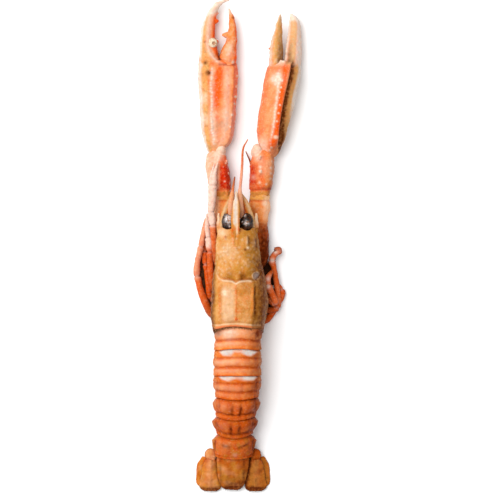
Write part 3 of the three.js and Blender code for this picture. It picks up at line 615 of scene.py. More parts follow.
def carapace_place(t, angle, reach):
    """Sends the rod's points to the shield."""
    along = np.minimum(t / LIP, 1)
    folded = np.clip((t - LIP) / (1 - LIP), 0, 1)
    half_width, top, low = read_rows(CARAPACE_ROWS, along * (HEAD_FRONT - CARAPACE_REAR)).T
    y = HEAD_FRONT - along * (HEAD_FRONT - CARAPACE_REAR)
    across, up = outline(angle, half_width, (top - low) / 2, 2.4)
    shrink = reach * (1 - folded * 0.1)
    z = (top + low) / 2 + up * shrink
    z += HOLLOW * step(np.sin(angle), -0.8, -0.97) * reach
    sweep = FLANK_SWEEP * along ** 6 * np.clip(1 - np.sin(angle), 0, 1) ** 1.5
    sweep += REAR_BOW * along ** 6 * np.minimum((across / 11) ** 2, 1)
    mouth = 3.0 * (1 - reach) * (t < 0.5)
    back = y - sweep * reach + LIP_DEPTH * folded * reach - mouth
    return np.column_stack([leaned(body_x(y) + across * shrink, z), back, z])


ROSTRUM_TIP = 33.9
ROSTRUM = course([
    [-7.8, 0.0, 22.6, 1.8, 1.4], [-7.8, 5.0, 24.8, 2.2, 1.7], [-7.9, 10.0, 26.4, 2.2, 2.0],
    [-7.9, 16.0, 27.6, 2.2, 1.9], [-7.7, 22.0, 28.6, 2.0, 1.6], [-7.5, 28.0, 29.2, 1.4, 1.2],
    [-7.4, ROSTRUM_TIP, 29.6, 0.4, 0.5],
])
ROSTRUM_KEELS = [20, 160]  # degrees round its section


def rostrum_relief(along, angle):
    """Two side keels with a shallow channel between them."""
    degrees = np.degrees(angle)
    keels = sum(bump(degrees, keel, 16) for keel in ROSTRUM_KEELS)
    return (0.45 * keels - 0.5 * bump(degrees, 90, 26)) * step(along, 36, 22)


BEAK_TOOTH = np.array([-7.8, 1.8, 15.5, 27.8, 2.6])  # X of the beak, how far beside it, Y, Z, length
NEXT_TOOTH = np.array([0.1, -0.3, 5.2, 0.6, -0.3])  # how these change from one tooth to the next
HEAD_THORNS = [
    [6.6, 3.4, 26.8, 2.8], [10.6, 2.2, 24.2, 3.0], [12.2, 7.8, 19.6, 4.0],
]  # how far beside the middle, Y, Z and length
parts = [
    loft("shield", 96, 110, carapace_place),
    limb("beak", ROSTRUM, 32, 40, 2.8, rostrum_relief),
]
for side in (-1, 1):
    for tooth in range(3):
        middle, beside, y, z, length = BEAK_TOOTH + tooth * NEXT_TOOTH
        parts.append(thorn([middle + side * beside, y, z], [side * 0.3, 1, 0.15], 0.7, length))
    for beside, y, z, length in HEAD_THORNS:
        foot = [leaned(body_x(y) + side * beside, z), y, z]
        parts.append(thorn(foot, [side * 0.2, 1, 0.25], 1.0, length))
carapace = melt("carapace_skin", parts, voxel=0.36, rounds=2)
print("the melted carapace has", len(carapace.data.vertices), "points")

# %% [markdown]
# ## Relief of the carapace
# A deep groove crosses the back where the head ends. Behind it a smooth pale band rises, and a fine keel
# runs along the middle of the back, with a stronger keel on each side. The front is rough with small
# bumps. All this is raised or sunk from the even skin, along its normals.

# %% Raise the keels, sink the grooves
GROOVE = [
    [-21.6, -12.0], [-20.3, -17.0], [-18.8, -20.4], [-16.2, -22.2], [-12.0, -22.5], [-9.6, -23.1],
    [-7.7, -24.2], [-5.8, -23.2], [-3.4, -22.6], [1.3, -22.6], [4.9, -23.0], [7.0, -20.8], [8.4, -17.2],
    [9.8, -12.0],
]  # the deep groove across the shield. Rows: X, Y
KEEL_X = -7.7  # the keel along the middle of the back
SIDE_KEELS = {
    "left": [[-45, -17.2], [-36, -17.6], [-26, -18.6]],
    "right": [[-45, 2.6], [-26, 3.1]],
}  # rows: Y, X
FURROW_X = 4.6  # a furrow runs outside the right keel
HOLLOWS = [[-11.0, -19.6], [-3.6, -19.6]]
RING_MARK = [4.9, -19.5, 2.2]  # X, Y and radius of a round scar
BEAK_KEELS = [
    [2.0, 0.6, 4.5, 17, 2.5], [1.1, 0.5, -0.5, 5, 1.5],
]  # the beak's keels run on over the head: offset, half width, first Y, last Y, softness of the ends
BROW_RIDGES = [[-0.9, 5.4, 0.8], [3.5, 4.2, 0.8]]  # X, Y where a low ridge ends in a thorn, half width
BROW_LENGTH = 5.5
KNOBS = [
    [-7.9, -1.4, 0.9, 0.6], [-0.3, -2.0, 0.9, 0.9], [-14.8, 4.9, 0.8, 0.5], [-7.6, -46.6, 0.8, 0.5],
]  # X, Y, radius, rise
points = read_points(carapace)
x, y, z = points.T
facing = read_normals(carapace)
on_back = step(facing[:, 2], 0.1, 0.6)
across = x - leaned(body_x(y), z)
behind = read_rows(GROOVE, x)[:, 0] - y
across_groove = on_back * (y < HEAD_FRONT) * (z > 14)
groove = bump(behind, -1.1, 0.8) * across_groove
welt = bump(behind, 0.1, 0.7) * across_groove * band(x, -17, 2.2, 1.0)
flank_groove = bump(y, -12 - 0.5 * (z - 20), 0.9) * (1 - on_back) * band(z, 13, 25, 2)
hollows = bumps(points, HOLLOWS, 2.7) * on_back
keel = bump(x, KEEL_X, 0.6) * band(y, -47, -25, 1.0) * on_back
side_keels = {}
for name, rows in SIDE_KEELS.items():
    side_keels[name] = bump(x, read_rows(rows, y)[:, 0], 0.9) * band(y, -44, -27, 2)
    side_keels[name] *= step(facing[:, 2], 0, 0.3)
furrow = bump(x, FURROW_X, 0.9) * band(y, -44, -27, 2) * on_back
beak_keels = on_back * sum(
    bump(np.abs(across), offset, width) * band(y, first, last, soft)
    for offset, width, first, last, soft in BEAK_KEELS
)
brow = on_back * sum(
    bump(x, at_x, width) * band(y, at_y - BROW_LENGTH, at_y, 1.2) for at_x, at_y, width in BROW_RIDGES
)
rear_y = y + REAR_BOW * np.minimum((across / 11) ** 2, 1) * on_back
rear_groove = bump(rear_y, -48.9, 0.7) * on_back
rear_rim = step(rear_y, -50.1, -50.7)
ring_away = np.hypot(x - RING_MARK[0], y - RING_MARK[1]) / RING_MARK[2]
ring_mark = step(ring_away, 1.0, 0.7) * on_back
ring_rim = bump(ring_away, 1.05, 0.2) * on_back
front_feet = scatter(points, (y < 4) & (y > -19) & (z > 18) & (facing[:, 2] > 0), 130, seed=3)
front_bumps = bumps(points, front_feet, 0.75)
back_bumps = bumps(points, scatter(points, (y < -24) & (y > -48) & (z > 10), 160, seed=4), 0.9)
side_groove = bump(z, 12.5 + 2.0 * step(y, -20, 8), 1.0) * band(y, -46, 2, 4)
lower_rim = bump(z, 7.6 + 0.16 * (y + 40).clip(0), 0.9) * (facing[:, 2] < 0.3)
# Each form is added with its own rise or depth in millimetres.
height = 0.28 * uneven(points, 14, seed=1) + 0.10 * uneven(points, 3.2, seed=2)
height += 0.4 * welt - 0.8 * groove - 0.55 * hollows + 0.3 * keel + 0.45 * beak_keels + 0.7 * brow
height += 0.6 * side_keels["left"] + 0.85 * side_keels["right"] - 0.5 * furrow
height += 0.3 * rear_rim - 0.4 * rear_groove + 0.25 * ring_rim - 0.35 * ring_mark
height += 0.26 * front_bumps + 0.14 * back_bumps
height += 0.35 * lower_rim - 0.4 * side_groove - 0.7 * flank_groove
height += marks(points, KNOBS) * on_back
lift(carapace, height)
points = read_points(carapace)
for side in (-1, 1):
    away = (points - eye_middle(side)) / SOCKET_SIZE
    depth = np.linalg.norm(away, axis=1)
    inside = (depth < 1) & (depth > 0)
    points[inside] += (away * SOCKET_SIZE)[inside] * (1 / depth[inside] - 1)[:, None]
write_points(carapace, points)
apply(carapace, "SMOOTH", factor=0.4, iterations=1)
print("the deepest groove sinks", round(-float(height.min()), 2), "mm")

# %% Paint the carapace
BEAK_X = -7.8  # X of the beak's middle
BEAK_LOW = 24  # what lies higher than this belongs to the beak or to the ridge behind it
BEAK_FOOT = [[-9.2, 9.6], [-6.0, 9.0]]  # X, Y of the blushed skin on both sides of the beak's foot
# The first dark mark is a brown patch on the back; the second is painted shade beside a knob in front.
DARK_MARKS = [[-0.5, -27.6, 2.6, 0.22], [-1.9, -2.9, 0.9, 0.9]]  # rows of marks: X, Y, radius, strength
RED_MARKS = [[-7.9, -1.6, 0.9, 0.9], [-14.8, 4.8, 1.0, 0.6], [-7.6, -46.8, 1.0, 1.0]]
PALE_MARKS = [
    [-0.3, -1.8, 0.8, 0.8], [-14.9, -30.2, 1.7, 0.8], [-16.4, 8.0, 3.0, 0.6], [-13.3, -3.8, 5.0, 0.35],
]
# A darker patch on the right flank: X, Y, radius, strength.
RIGHT_DARK_PATCH = [[8.8, -14.0, 4.2, 0.35]]
before_groove = 1 - step(behind, -0.8, 0.8)
raised = z > BEAK_LOW
beak_side = np.abs(x - BEAK_X)
patches = step(uneven(points, 7, seed=5), -0.4, 0.8)
specks = step(uneven(points, 3.4, seed=7), 0.3, 1.1)
# Painted shade: the right side is darkened as if it lay away from the light, before and behind the groove.
shaded_right_front = step(across, 4.0, 12.0) * before_groove
shaded_right_rear = step(across, 9.4, 11.2) * (1 - before_groove)
left_groove = groove * step(x, -19, -14)
# A painted shadow on the right of each brow ridge.
brow_shadow = on_back * sum(
    bump(x, at_x + 1.2, 0.6) * band(y, at_y - 6, at_y, 1) for at_x, at_y, _ in BROW_RIDGES
)

# Painted shade darkens the right side and the furrow beside the right keel, most where the shell faces up;
# the far left edge is darker too. Painted shade also lies in the hollows and the groove, beside the brow
# ridges, on the low flanks and on the lip under the hind edge.
shade = 0.45 * shaded_right_front + 0.62 * shaded_right_rear + 0.3 * step(across, 12, 16)
shade += 0.95 * step(across, -12.2, -15.8) + 0.5 * bump(x, 4.4, 0.7) * band(y, -44, -26, 3) * on_back
shade = shade * (0.62 + 0.38 * step(facing[:, 2], -0.3, 0.5))
shade += 0.85 * hollows * (0.5 + 0.5 * step(x, -8, -4)) + 0.5 * ring_mark + 0.3 * left_groove
shade += marks(points, DARK_MARKS) * on_back + marks(points, RIGHT_DARK_PATCH) + 0.45 * brow_shadow
shade += 0.3 * step(z, 9, 4) + 0.2 * patches * step(across, 0, 7) * before_groove
shade += 0.7 * step(rear_y, -51.4, -52.0) + 0.6 * bump(x, -8.0, 0.35) * band(y, 3.6, 7.4, 0.8) * on_back

# Part of the gold is painted shade: the olive tone on the right side and in the hollows.
gold = (0.3 + 0.5 * patches * step(across, -3, 3)) * before_groove * (y < 9) + 0.5 * hollows
gold += 0.5 * (shaded_right_rear + shaded_right_front + step(across, -11, -14))
gold += 0.3 * step(uneven(points, 5, seed=8), 0.2, 1)
gold += 0.6 * step(beak_side, 1.4, 1.9) * step(y, 8, 12) * raised * (beak_side < 4)

blush = 0.35 * keel + 0.35 * side_keels["left"] + 0.45 * side_keels["right"] + 1.2 * rear_rim
blush += 0.6 * beak_keels * step(y, -1, 4) + 0.6 * hollows + 0.5 * left_groove + 0.25 * specks
blush += marks(points, RED_MARKS) * on_back + 0.5 * bumps(points, BEAK_FOOT, 1.6) * on_back
blush += 0.8 * bump(beak_side, 2.1, 0.55) * band(y, 3, 26, 3) * raised
blush += 0.8 * bump(beak_side, 1.5, 0.5) * band(y, -0.5, 6.5, 1.5) * raised
rear_patches = step(uneven(points, 6, seed=9), -0.2, 0.8)
blush += 0.25 * band(x, -6.5, 1.5, 1.5) * band(y, -46, -25, 3) * rear_patches

stripe_half = 0.5 + 1.0 * step(y, 10, 14)
stripe_side = np.abs(x + 7.1 + 0.85 * step(y, 10, 14))
stripe = step(y, 5, 8) * step(stripe_side, stripe_half + 0.5, stripe_half - 0.4) * raised
white_line = bump(stripe_side, 0, 0.9) * step(y, 11, 15) * step(y, 33, 30) * raised
pale = 0.12 * rear_rim * on_back + 0.8 * welt + 0.3 * front_bumps + 0.8 * ring_rim
pale += 0.5 * bump(rear_y, -49.6, 0.5) * on_back + 0.7 * stripe + 0.2 * white_line + 0.3 * brow
pale += marks(points, PALE_MARKS) * on_back
pale += 0.42 * band(x, -16.4, -8.8, 1.6) * band(y, -48, -26, 3) * on_back
pale += 0.4 * bump(behind, 0.2, 0.8) * across_groove * step(x, -17, -18)
film = 0.28 * ring_mark + 0.75 * white_line
paint(carapace, blush=blush, pale=pale, shade=shade, gold=gold, film=film)
dress(carapace, HEAD_FINISH, "carapace")

# %% [markdown]
# ## Tail segments
# The tail is a row of six shell rings. Each ring's hind rim lies over the next ring's front, so that the
# tail can curl, and each ring hangs down at the sides in two lobes. One loft makes them all from one
# table. Its first stretch is a narrow neck that disappears under the ring before, and its last stretch
# turns the rim in.

# %% Loft the six rings
SEGMENTS = [
    [-66.6, 14.8, 14.6, 2.6], [-83.6, 15.3, 14.8, 4.6], [-99.0, 15.6, 13.2, 4.8],
    [-112.0, 15.2, 12.1, 4.4], [-123.8, 14.6, 10.8, 3.4], [-137.6, 14.2, 11.6, 1.6],
]  # Y of the hind edge, half width across the side lobes, half width at the hind edge, how far the lobes hang
TAIL_ROWS = [
    [52.5, 28.6, 6.5, 0], [66.6, 28.8, 6.2, 0], [83.6, 28.0, 6.0, 4], [99.0, 26.2, 5.6, 10],
    [112.0, 22.6, 5.2, 18], [123.8, 18.0, 4.4, 25], [137.6, 10.6, 2.2, 28],
]  # distance behind the origin, height of the back, height of the belly side, slope of the back in degrees
SEGMENT_RELIEF = [
    [[0.28, 0.6, 0.20], [0.60, -0.6, 0.06], [0.77, 0.4, 0.09]],
    [[0.32, -0.4, 0.045], [0.47, 0.5, 0.11], [0.67, -0.5, 0.05], [0.81, 0.4, 0.08]],
    [[0.32, -0.4, 0.05], [0.51, 0.5, 0.12], [0.68, -0.4, 0.05], [0.82, 0.3, 0.08]],
    [[0.06, -0.4, 0.05], [0.36, 0.5, 0.20], [0.74, -0.45, 0.06], [0.88, 0.2, 0.05]],
    [[0.06, -0.4, 0.05], [0.38, 0.5, 0.20], [0.80, -0.4, 0.06], [0.92, 0.15, 0.05]],
    [[0.06, -0.4, 0.06], [0.24, 0.35, 0.12], [0.62, 0.3, 0.16], [0.90, -0.25, 0.04]],
]  # for each ring: [share of its length that shows, rise, width] of the folds across its back
RIM_CURVE = [-1.0, -0.9, -0.3, 1.4, 1.9, 2.7, 1.5]  # each rim's bow backwards, the carapace's first
LOBE_PLACE = 0.26  # the side lobes are widest this far behind the rim before them
RIM_RISE = [0.5, 0.5, 0.4, 0.15, 0.1, 0.2]  # how far each ring's hind rim stands up
NECK_SINK = 1.3  # how far a ring's neck lies under the rim before it
RIM_PLACE = 1.1  # how far ahead of the table's hind edge the rim shows
RIM_LAP = 2.0  # how far a ring's front reaches under the rim before it
RING_TURN = 0.93  # the share of the loft at which the rim turns in


def ring_ends(index):
    """Y of a ring's front end under the rim before it, Y of its own rim, the hidden share of its length."""
    front = CARAPACE_REAR + 0.9 if index == 0 else SEGMENTS[index - 1][0] + RIM_PLACE
    first, last = front + RIM_LAP, SEGMENTS[index][0] + RIM_PLACE
    return first, last, RIM_LAP / (first - last)


def ring_place(index):
    """A function that sends the rod's points to one tail ring."""
    first, last, hidden = ring_ends(index)
    lobe_width, rear_width, drop = SEGMENTS[index][1:]
    neck_width = (lobe_width if index == 0 else SEGMENTS[index - 1][2]) - 0.6

    def place(t, angle, reach):
        share = np.minimum(t / RING_TURN, 1)
        turned = np.clip((t - RING_TURN) / (1 - RING_TURN), 0, 1)
        along = first + (last - first) * share
        seen = (share - hidden) / (1 - hidden)
        top, low, slope = read_rows(TAIL_ROWS, -along).T
        sine, cosine = np.sin(angle), np.cos(angle)
        upper = step(sine, -0.5, 0.2)
        sunk = NECK_SINK * step(seen, 0.08, -0.05) * upper
        rise = sum(height * bump(seen, where, width) for where, height, width in SEGMENT_RELIEF[index])
        rise = (rise + RIM_RISE[index] * step(share, 0.86, 0.98)) * upper - sunk
        from_neck = np.clip(seen / LOBE_PLACE, 0, 1)
        to_rear = np.clip((seen - LOBE_PLACE) / (1 - LOBE_PLACE), 0, 1)
        back_width = neck_width + (rear_width - neck_width) * share
        widest = np.where(
            from_neck < 1,
            neck_width + (lobe_width - neck_width) * from_neck ** 0.7,
            lobe_width + (rear_width - lobe_width) * to_rear ** 1.3,
        )
        across, up = outline(angle, back_width, (top - low) / 2, 2.5)
        low_side = np.clip(0.8 - sine * 1.6, 0, 1) * np.abs(cosine) ** 0.5
        shrink = reach * (1 - 0.09 * turned)
        swell = shrink * (1 + rise / np.hypot(across, up))
        sideways = across * swell + np.sign(across) * (widest - back_width) * low_side * reach
        lobe = np.sin(math.pi * np.clip(share * 1.02, 0, 1) ** 1.15) ** 0.8
        below = np.clip(-sine * 2.2, 0, 1)
        height = (top + low) / 2 + up * swell - drop * lobe * below * low_side * reach
        height += 3.0 * step(sine, -0.82, -0.97) * reach
        lean = 0.55 * np.tan(np.radians(slope)) * (height - top)
        curve = RIM_CURVE[index] + (RIM_CURVE[index + 1] - RIM_CURVE[index]) * share
        curve = curve * np.minimum((across / 11) ** 2, 1)
        forward = np.where(curve > 0, np.maximum(curve, -lean), curve - lean)
        upper_side = step(sine, -0.35, 0.25) * reach
        forward = forward * upper_side - lean * (1 - upper_side)
        behind = along + forward + 1.4 * turned * reach
        return np.column_stack([body_x(behind) + sideways, behind, np.maximum(height, 0.2)])

    return place


rings = [loft(f"tail_segment_{index + 1}_skin", 168, 74, ring_place(index)) for index in range(len(SEGMENTS))]
print("lofted", len(rings), "tail rings")

# %% [markdown]
# ## Relief and colour of the tail
# Behind the first two rims a white strip of the soft skin between two rings shows. The fourth and fifth
# rings have a keel in the middle with a dark pit on each side, and two soft swellings. The colour deepens
# from salmon in front to a dark orange at the end, with redder grooves. The folds carry painted highlights,
# palest on the left, and painted shade darkens the pits, the grooves and the right side.

# %% Finish the rings
RING_LOOKS = {
    "keel": (0, 0, 0.2, 1.0, 1.0, 0.7),
    "left pit": (0, 0, 0.5, 0.7, 1.0, 0),
    "side fold": (0.2, 0.2, 0.2, 0.3, 0.3, 0.4),
    "soft strip": (0, 0.25, 0.22, 0, 0, 0),
    # pale is painted highlight on the folds; the darkness of the grooves and side folds is painted shade
    "pale": (1.0, 0.8, 0.5, 0.15, 0.05, 0.1),
    "blush": (0.0, 0.2, 0.55, 0.8, 1.0, 0.65),
    "shade": (0, 0.0, 0.04, 0.1, 0.22, 0.14),
    "shaded grooves": (0.35, 0.3, 0.45, 0.8, 0.8, 0.6),
    "shaded side fold": (0, 0, 0.15, 0.15, 0.2, 0.6),
    "gold": (0, 0, 0.1, 0.15, 0.2, 0.6),
}  # how strong each feature is on each ring, from the front
TAIL_MIDDLE = 0.4  # the tail's pattern lies this far right of the body's middle line
FLANK_GRAINS = 36
# A painted highlight on the first ring's front left: X, Y.
FRONT_HIGHLIGHT = [-12.0, -56.4]
END_PATCHES = [[-8.5, -133.3], [-14.4, -127.4]]
FRONT_CORNERS = [[-19.4, -54.8], [7.0, -55.0]]
for index, ring in enumerate(rings):
    look = {name: values[index] for name, values in RING_LOOKS.items()}
    first_ring, last_ring = index == 0, index == len(rings) - 1
    points = read_points(ring)
    x, y, z = points.T
    facing = read_normals(ring)
    on_back = step(facing[:, 2], 0.15, 0.6)
    flank = step(facing[:, 2], 0.55, 0.1)
    hidden = ring_ends(index)[2]
    share = (np.minimum(read_mask(ring, "along") / RING_TURN, 1) - hidden) / (1 - hidden)
    offset = x - body_x(y)
    from_middle = np.abs(offset - TAIL_MIDDLE)
    middle = bump(offset, 0.6, 1.6) * band(share, 0.2, 0.85, 0.1) * on_back
    swellings = (bump(offset, -6.8, 3.4) + bump(offset, 7.2, 3.0)) * bump(share, 0.36, 0.26) * on_back
    pits = look["left pit"] * bump(offset, -2.2, 0.9) + bump(offset, 3.2, 1.0)
    pits = pits * bump(share, 0.52, 0.24) * on_back * (not last_ring)
    fold = (bump(share, 0.72, 0.06) + 0.6 * bump(share, 0.2, 0.05)) * flank
    side_fold = bump(np.abs(offset), 12.2, 0.7) * band(share, 0.25, 0.72, 0.1) * on_back
    eyebrows = bump(share, 0.52 - 0.02 * from_middle, 0.09) * band(from_middle, 2.4, 8, 1.2)
    eyebrows = eyebrows * on_back * last_ring
    grains = bumps(points, scatter(points, flank > 0.4, FLANK_GRAINS, seed=30 + index), 0.8)
    height = 0.16 * uneven(points, 9, seed=10 + index) + 0.07 * uneven(points, 2.6, seed=20 + index)
    height += look["keel"] * (0.6 * middle + 0.9 * swellings - 0.9 * pits) - 0.6 * eyebrows
    height += 0.15 * grains - 0.35 * fold - look["side fold"] * side_fold
    lift(ring, height * step(share, 1.0, 0.96) * step(share, -0.12, 0.03))

    strip = look["soft strip"]
    strip_end = strip * (0.55 + 0.35 * bump(from_middle, 6.4, 3.2)) * step(from_middle, 13.6, 9.6)
    strip_end += 0.02 * uneven(points, 6, seed=45 + index)
    skin = step(share, strip_end + 0.07, strip_end - 0.07) * (strip > 0) * step(facing[:, 2], 0.35, 0.75)
    film = skin * (0.55 + 0.45 * step(from_middle, 1.0, 4.5))
    ridges, grooves = (
        step(facing[:, 2], 0.0, 0.5) * sum(
            max(sign * rise, 0) * bump(share, where, width) for where, rise, width in SEGMENT_RELIEF[index]
        ) for sign in (1, -1)
    )
    # Painted highlights: the folds and swellings are paler on the left, toward the light.
    painted_sheen = step(offset, 9, -6) * on_back
    pale = look["pale"] * ridges * (0.35 + 0.65 * painted_sheen) + 0.1 * grains
    pale += 0.08 * look["keel"] * swellings * painted_sheen * step(uneven(points, 5, seed=47 + index), -0.5, 0.7)
    blush = look["blush"] + 1.8 * grooves + 0.7 * bump(share, 0.98, 0.04) * on_back
    blush += look["keel"] * (0.3 * middle - 0.15 * swellings) + 0.15 * flank
    blush += 0.2 * uneven(points, 7, seed=40 + index)
    around = bump(from_middle, 11.2, 1.2) * bump(share, 0.42, 0.3)
    around = (around + bump(share, 0.7, 0.06) * (from_middle < 11)) * (not last_ring) * on_back
    # Painted shade: in the pits and round the swellings, on the right side, in the grooves and side folds,
    # low down near the table and on each neck under the rim before it.
    shade = look["shade"] + look["keel"] * (1.0 * pits + 0.35 * around) + 0.55 * step(offset, 2, 13)
    shade += 0.55 * eyebrows + look["shaded grooves"] * grooves + look["shaded side fold"] * side_fold
    shade += 0.3 * step(z, 9, 4) + 0.5 * step(share, 0.05, -0.02) * (strip == 0)
    shade += 0.1 * step(offset, -10, -14)
    gold = look["gold"] * step(uneven(points, 6, seed=48 + index), -0.2, 0.8)
    gold += 0.4 * step(np.abs(offset), 12, 14.5)
    if first_ring:
        pale += 0.45 * bumps(points, FRONT_HIGHLIGHT, 3.6)
        shade += 0.6 * bumps(points, FRONT_CORNERS, 3.2)
    if last_ring:
        pale += 0.4 * bumps(points, END_PATCHES, 1.3)
        gold += 0.5 * step(offset, -12, -13.5)
    paint(
        ring, blush=blush * (1 - skin), pale=pale * (1 - skin), shade=shade * (1 - 0.85 * skin),
        gold=gold * (1 - skin), film=film,
    )
    dress(ring, TAIL_FINISH, f"tail_segment_{index + 1}")

# %% [markdown]
# ## Tail fan
# The fan is five thin blades: the telson in the middle and two blades at each side, carried by a small
# root block. Each blade is domed, ribbed along its middle and fringed with short bristles. A blade is
# lofted from a table of half widths along its middle line, as a limb is, but with its own dome and its
# ribs.

# %% Loft the blades
TAIL_END = -156.2


def blade(name, root, end, rows, ribs, crown=0.6):
    """A thin domed blade from root to end.

    Rows: distance, half width, half thickness. Ribs: offset, rise, width.
    """
    root, end = np.array(root, float), np.array(end, float)
    length = np.linalg.norm(end - root)
    ahead = (end - root) / length
    up = unit_rows(np.array([[0, 0, 1.0]]) - ahead * ahead[2])[0]
    right = np.cross(ahead, up)

    def place(t, angle, reach):
        half_width, half_thick = read_rows(rows, t * rows[-1][0]).T
        half_width = half_width * np.sqrt(np.clip(1 - ((t - 0.94) / 0.06).clip(0) ** 2 * 0.35, 0, 1))
        across, thick = outline(angle, half_width, half_thick, 2.2)
        share = across / half_width
        thick = thick * (1 - 0.55 * step(t, 0.55, 1.0))
        dome = crown * (1 - share ** 2)
        ridges = sum(rise * bump(across, offset * t ** 0.5, width) for offset, rise, width in ribs)
        dome += ridges * (thick > 0)
        return (
            root + np.outer(t * length, ahead) + np.outer(across * reach, right)
            + np.outer(thick * reach + dome * reach ** 0.5, up)
        )

    piece = loft(name, 64, 56, place)
    low = read_points(piece)
    low[:, 2] = np.maximum(low[:, 2], 0.15)
    write_points(piece, low)
    return piece


FAN_MIDDLE = float(body_x(-147.0))


def fan_blades(side):
    """The two blades of one side of the fan, the inner one first."""
    name = "left" if side < 0 else "right"
    inner = blade(
        f"tail_fan_inner_{name}_skin", [FAN_MIDDLE + side * 14.0, -136.8, 4.0],
        [FAN_MIDDLE + side * 14.6, -157.2, 1.6],
        [[0, 3.8, 1.5], [4.6, 5.4, 1.4], [12, 6.3, 1.2], [18, 6.9, 0.8], [20.6, 5.0, 0.4]],
        ribs=[(0, 0.7, 0.8), (side * 2.8, 0.25, 0.8), (-side * 2.8, 0.3, 0.8)],
    )
    outer = blade(
        f"tail_fan_outer_{name}_skin", [FAN_MIDDLE + side * 17.4, -135.4, 0.9],
        [FAN_MIDDLE + side * 19.4, -154.6, 0.5],
        [[0, 2.4, 0.8], [5, 4.8, 0.8], [12, 4.9, 0.7], [17, 4.4, 0.6], [19.3, 2.6, 0.3]],
        crown=0.3, ribs=[(0, 0.6, 0.8), (side * 2.4, 0.3, 0.7)],
    )
    return inner, outer


telson = blade(
    "telson_skin", [float(body_x(-138.0)) - 0.3, -134.8, 7.4], [float(body_x(-156.0)) - 0.6, TAIL_END, 2.8],
    [[0, 10.2, 1.5], [3.4, 10.3, 1.6], [12, 9.3, 1.4], [18.6, 7.4, 0.9], [21.4, 5.0, 0.4]],
    crown=0.9, ribs=[(0, -0.35, 2.2), (-5.0, 0.5, 1.1), (5.0, 0.5, 1.1), (-8.6, 0.4, 0.7), (8.6, 0.4, 0.7)],
)
fan = {"telson": telson}
for side, name in ((-1, "left"), (1, "right")):
    fan[f"tail_fan_inner_{name}"], fan[f"tail_fan_outer_{name}"] = fan_blades(side)
    root_parts = [
        ball([FAN_MIDDLE + side * 14.2, -134.0, 3.4], [3.8, 4.2, 2.4]),
        thorn([FAN_MIDDLE + side * 15.6, -136.0, 3.4], [side * 0.3, -1, -0.1], 1.6, 4.0),
        thorn([FAN_MIDDLE + side * 12.6, -136.4, 4.2], [side * 0.1, -1, -0.1], 1.4, 3.6),
    ]
    fan[f"tail_fan_root_{name}"] = melt(f"tail_fan_root_{name}_skin", root_parts, voxel=0.3)
print("the fan has", len(fan), "pieces")

# %% Finish the blades
TELSON_SIDE = [
    [-156.2, 6.2], [-153.4, 7.6], [-146.8, 9.3], [-138.2, 10.3], [-134.8, 10.3],
]  # Y, half width of the telson as it is seen from above
TELSON_OFFSET = -0.5  # X of the telson's middle, from the fan's
TELSON_PATCH = [-16.6, -142.5]
for seed, (node, piece) in enumerate(fan.items()):
    points = read_points(piece)
    x, y = points.T[:2]
    facing = read_normals(piece)
    on_back = step(facing[:, 2], 0.2, 0.7)
    offset = x - FAN_MIDDLE
    on_right = offset > 0
    from_telson = np.abs(offset - TELSON_OFFSET)
    toward_end = step(y, -140, -156)
    height = 0.14 * uneven(points, 6, seed=50 + seed) + 0.08 * uneven(points, 2.2, seed=60 + seed)
    height += 0.12 * bumps(points, scatter(points, on_back > 0.5, 90, seed=70 + seed), 0.7)
    lift(piece, height * step(y, -155.5, -153))
    edge = step(np.abs(facing[:, 2]), 0.8, 0.3)
    mottled = step(uneven(points, 6.5, seed=80 + seed), -0.3, 1.1) * on_back
    # Painted light: the pale mottling fades out from the left to the right.
    pale = 0.35 * mottled * step(offset, 14, -6)
    gold = 0.6 * step(uneven(points, 7, seed=85 + seed), -0.4, 0.6) + 0.2 * toward_end
    blush = 0.15 + 0.4 * edge + 0.7 * step(y, -141, -137)
    # Painted shade darkens the right half and the steep edges; the dark end rims are the blades' own colour.
    shade = 0.42 * step(offset, 0, 12) + 0.6 * edge + 0.9 * step(y, TAIL_END + 3.0, TAIL_END)
    shade += 0.18 * step(uneven(points, 5, seed=88 + seed), 0.2, 1.2)
    if node == "telson":
        middle = bump(offset, 0, 6.5)
        # The dark line along the telson's sides is painted shade where the blades meet it.
        shade += 0.15 + 0.8 * toward_end ** 2 * middle + 0.35 * bump(from_telson, 7.4, 0.8) * on_back
        pale += 0.6 * bumps(points, TELSON_PATCH, 1.6) + 0.25 * toward_end * middle * mottled
    if "inner" in node:
        # Painted shadow beside the telson, wider on the right, and a painted highlight along the blade's
        # middle, mostly on the left blade.
        seam = from_telson - read_rows(TELSON_SIDE, y)[:, 0]
        shade += (0.6 + 0.3 * on_right) * bump(seam, 0.0, 1.1 + 0.7 * on_right)
        pale += 0.45 * bump(np.abs(offset), 14.8, 2.4) * on_back * (1 - 0.6 * (offset >= 0))
    if "root" in node:
        pale += 0.4 * step(offset, 0, -4) * on_back
    paint(piece, blush=blush, pale=pale, shade=shade, gold=gold)
    dress(piece, FAN_FINISH, node)

# %% [markdown]
# ## Eyes
# A langoustine's eyes are big, black and kidney-shaped, on short stalks. Cooking wrinkles them. Each eye is
# a ball melted to its stalk and dented by a soft random waviness. Its finish is a glossy near-black with
# cloudy grey-brown patches on top, painted highlights where the wet skin catches the light.

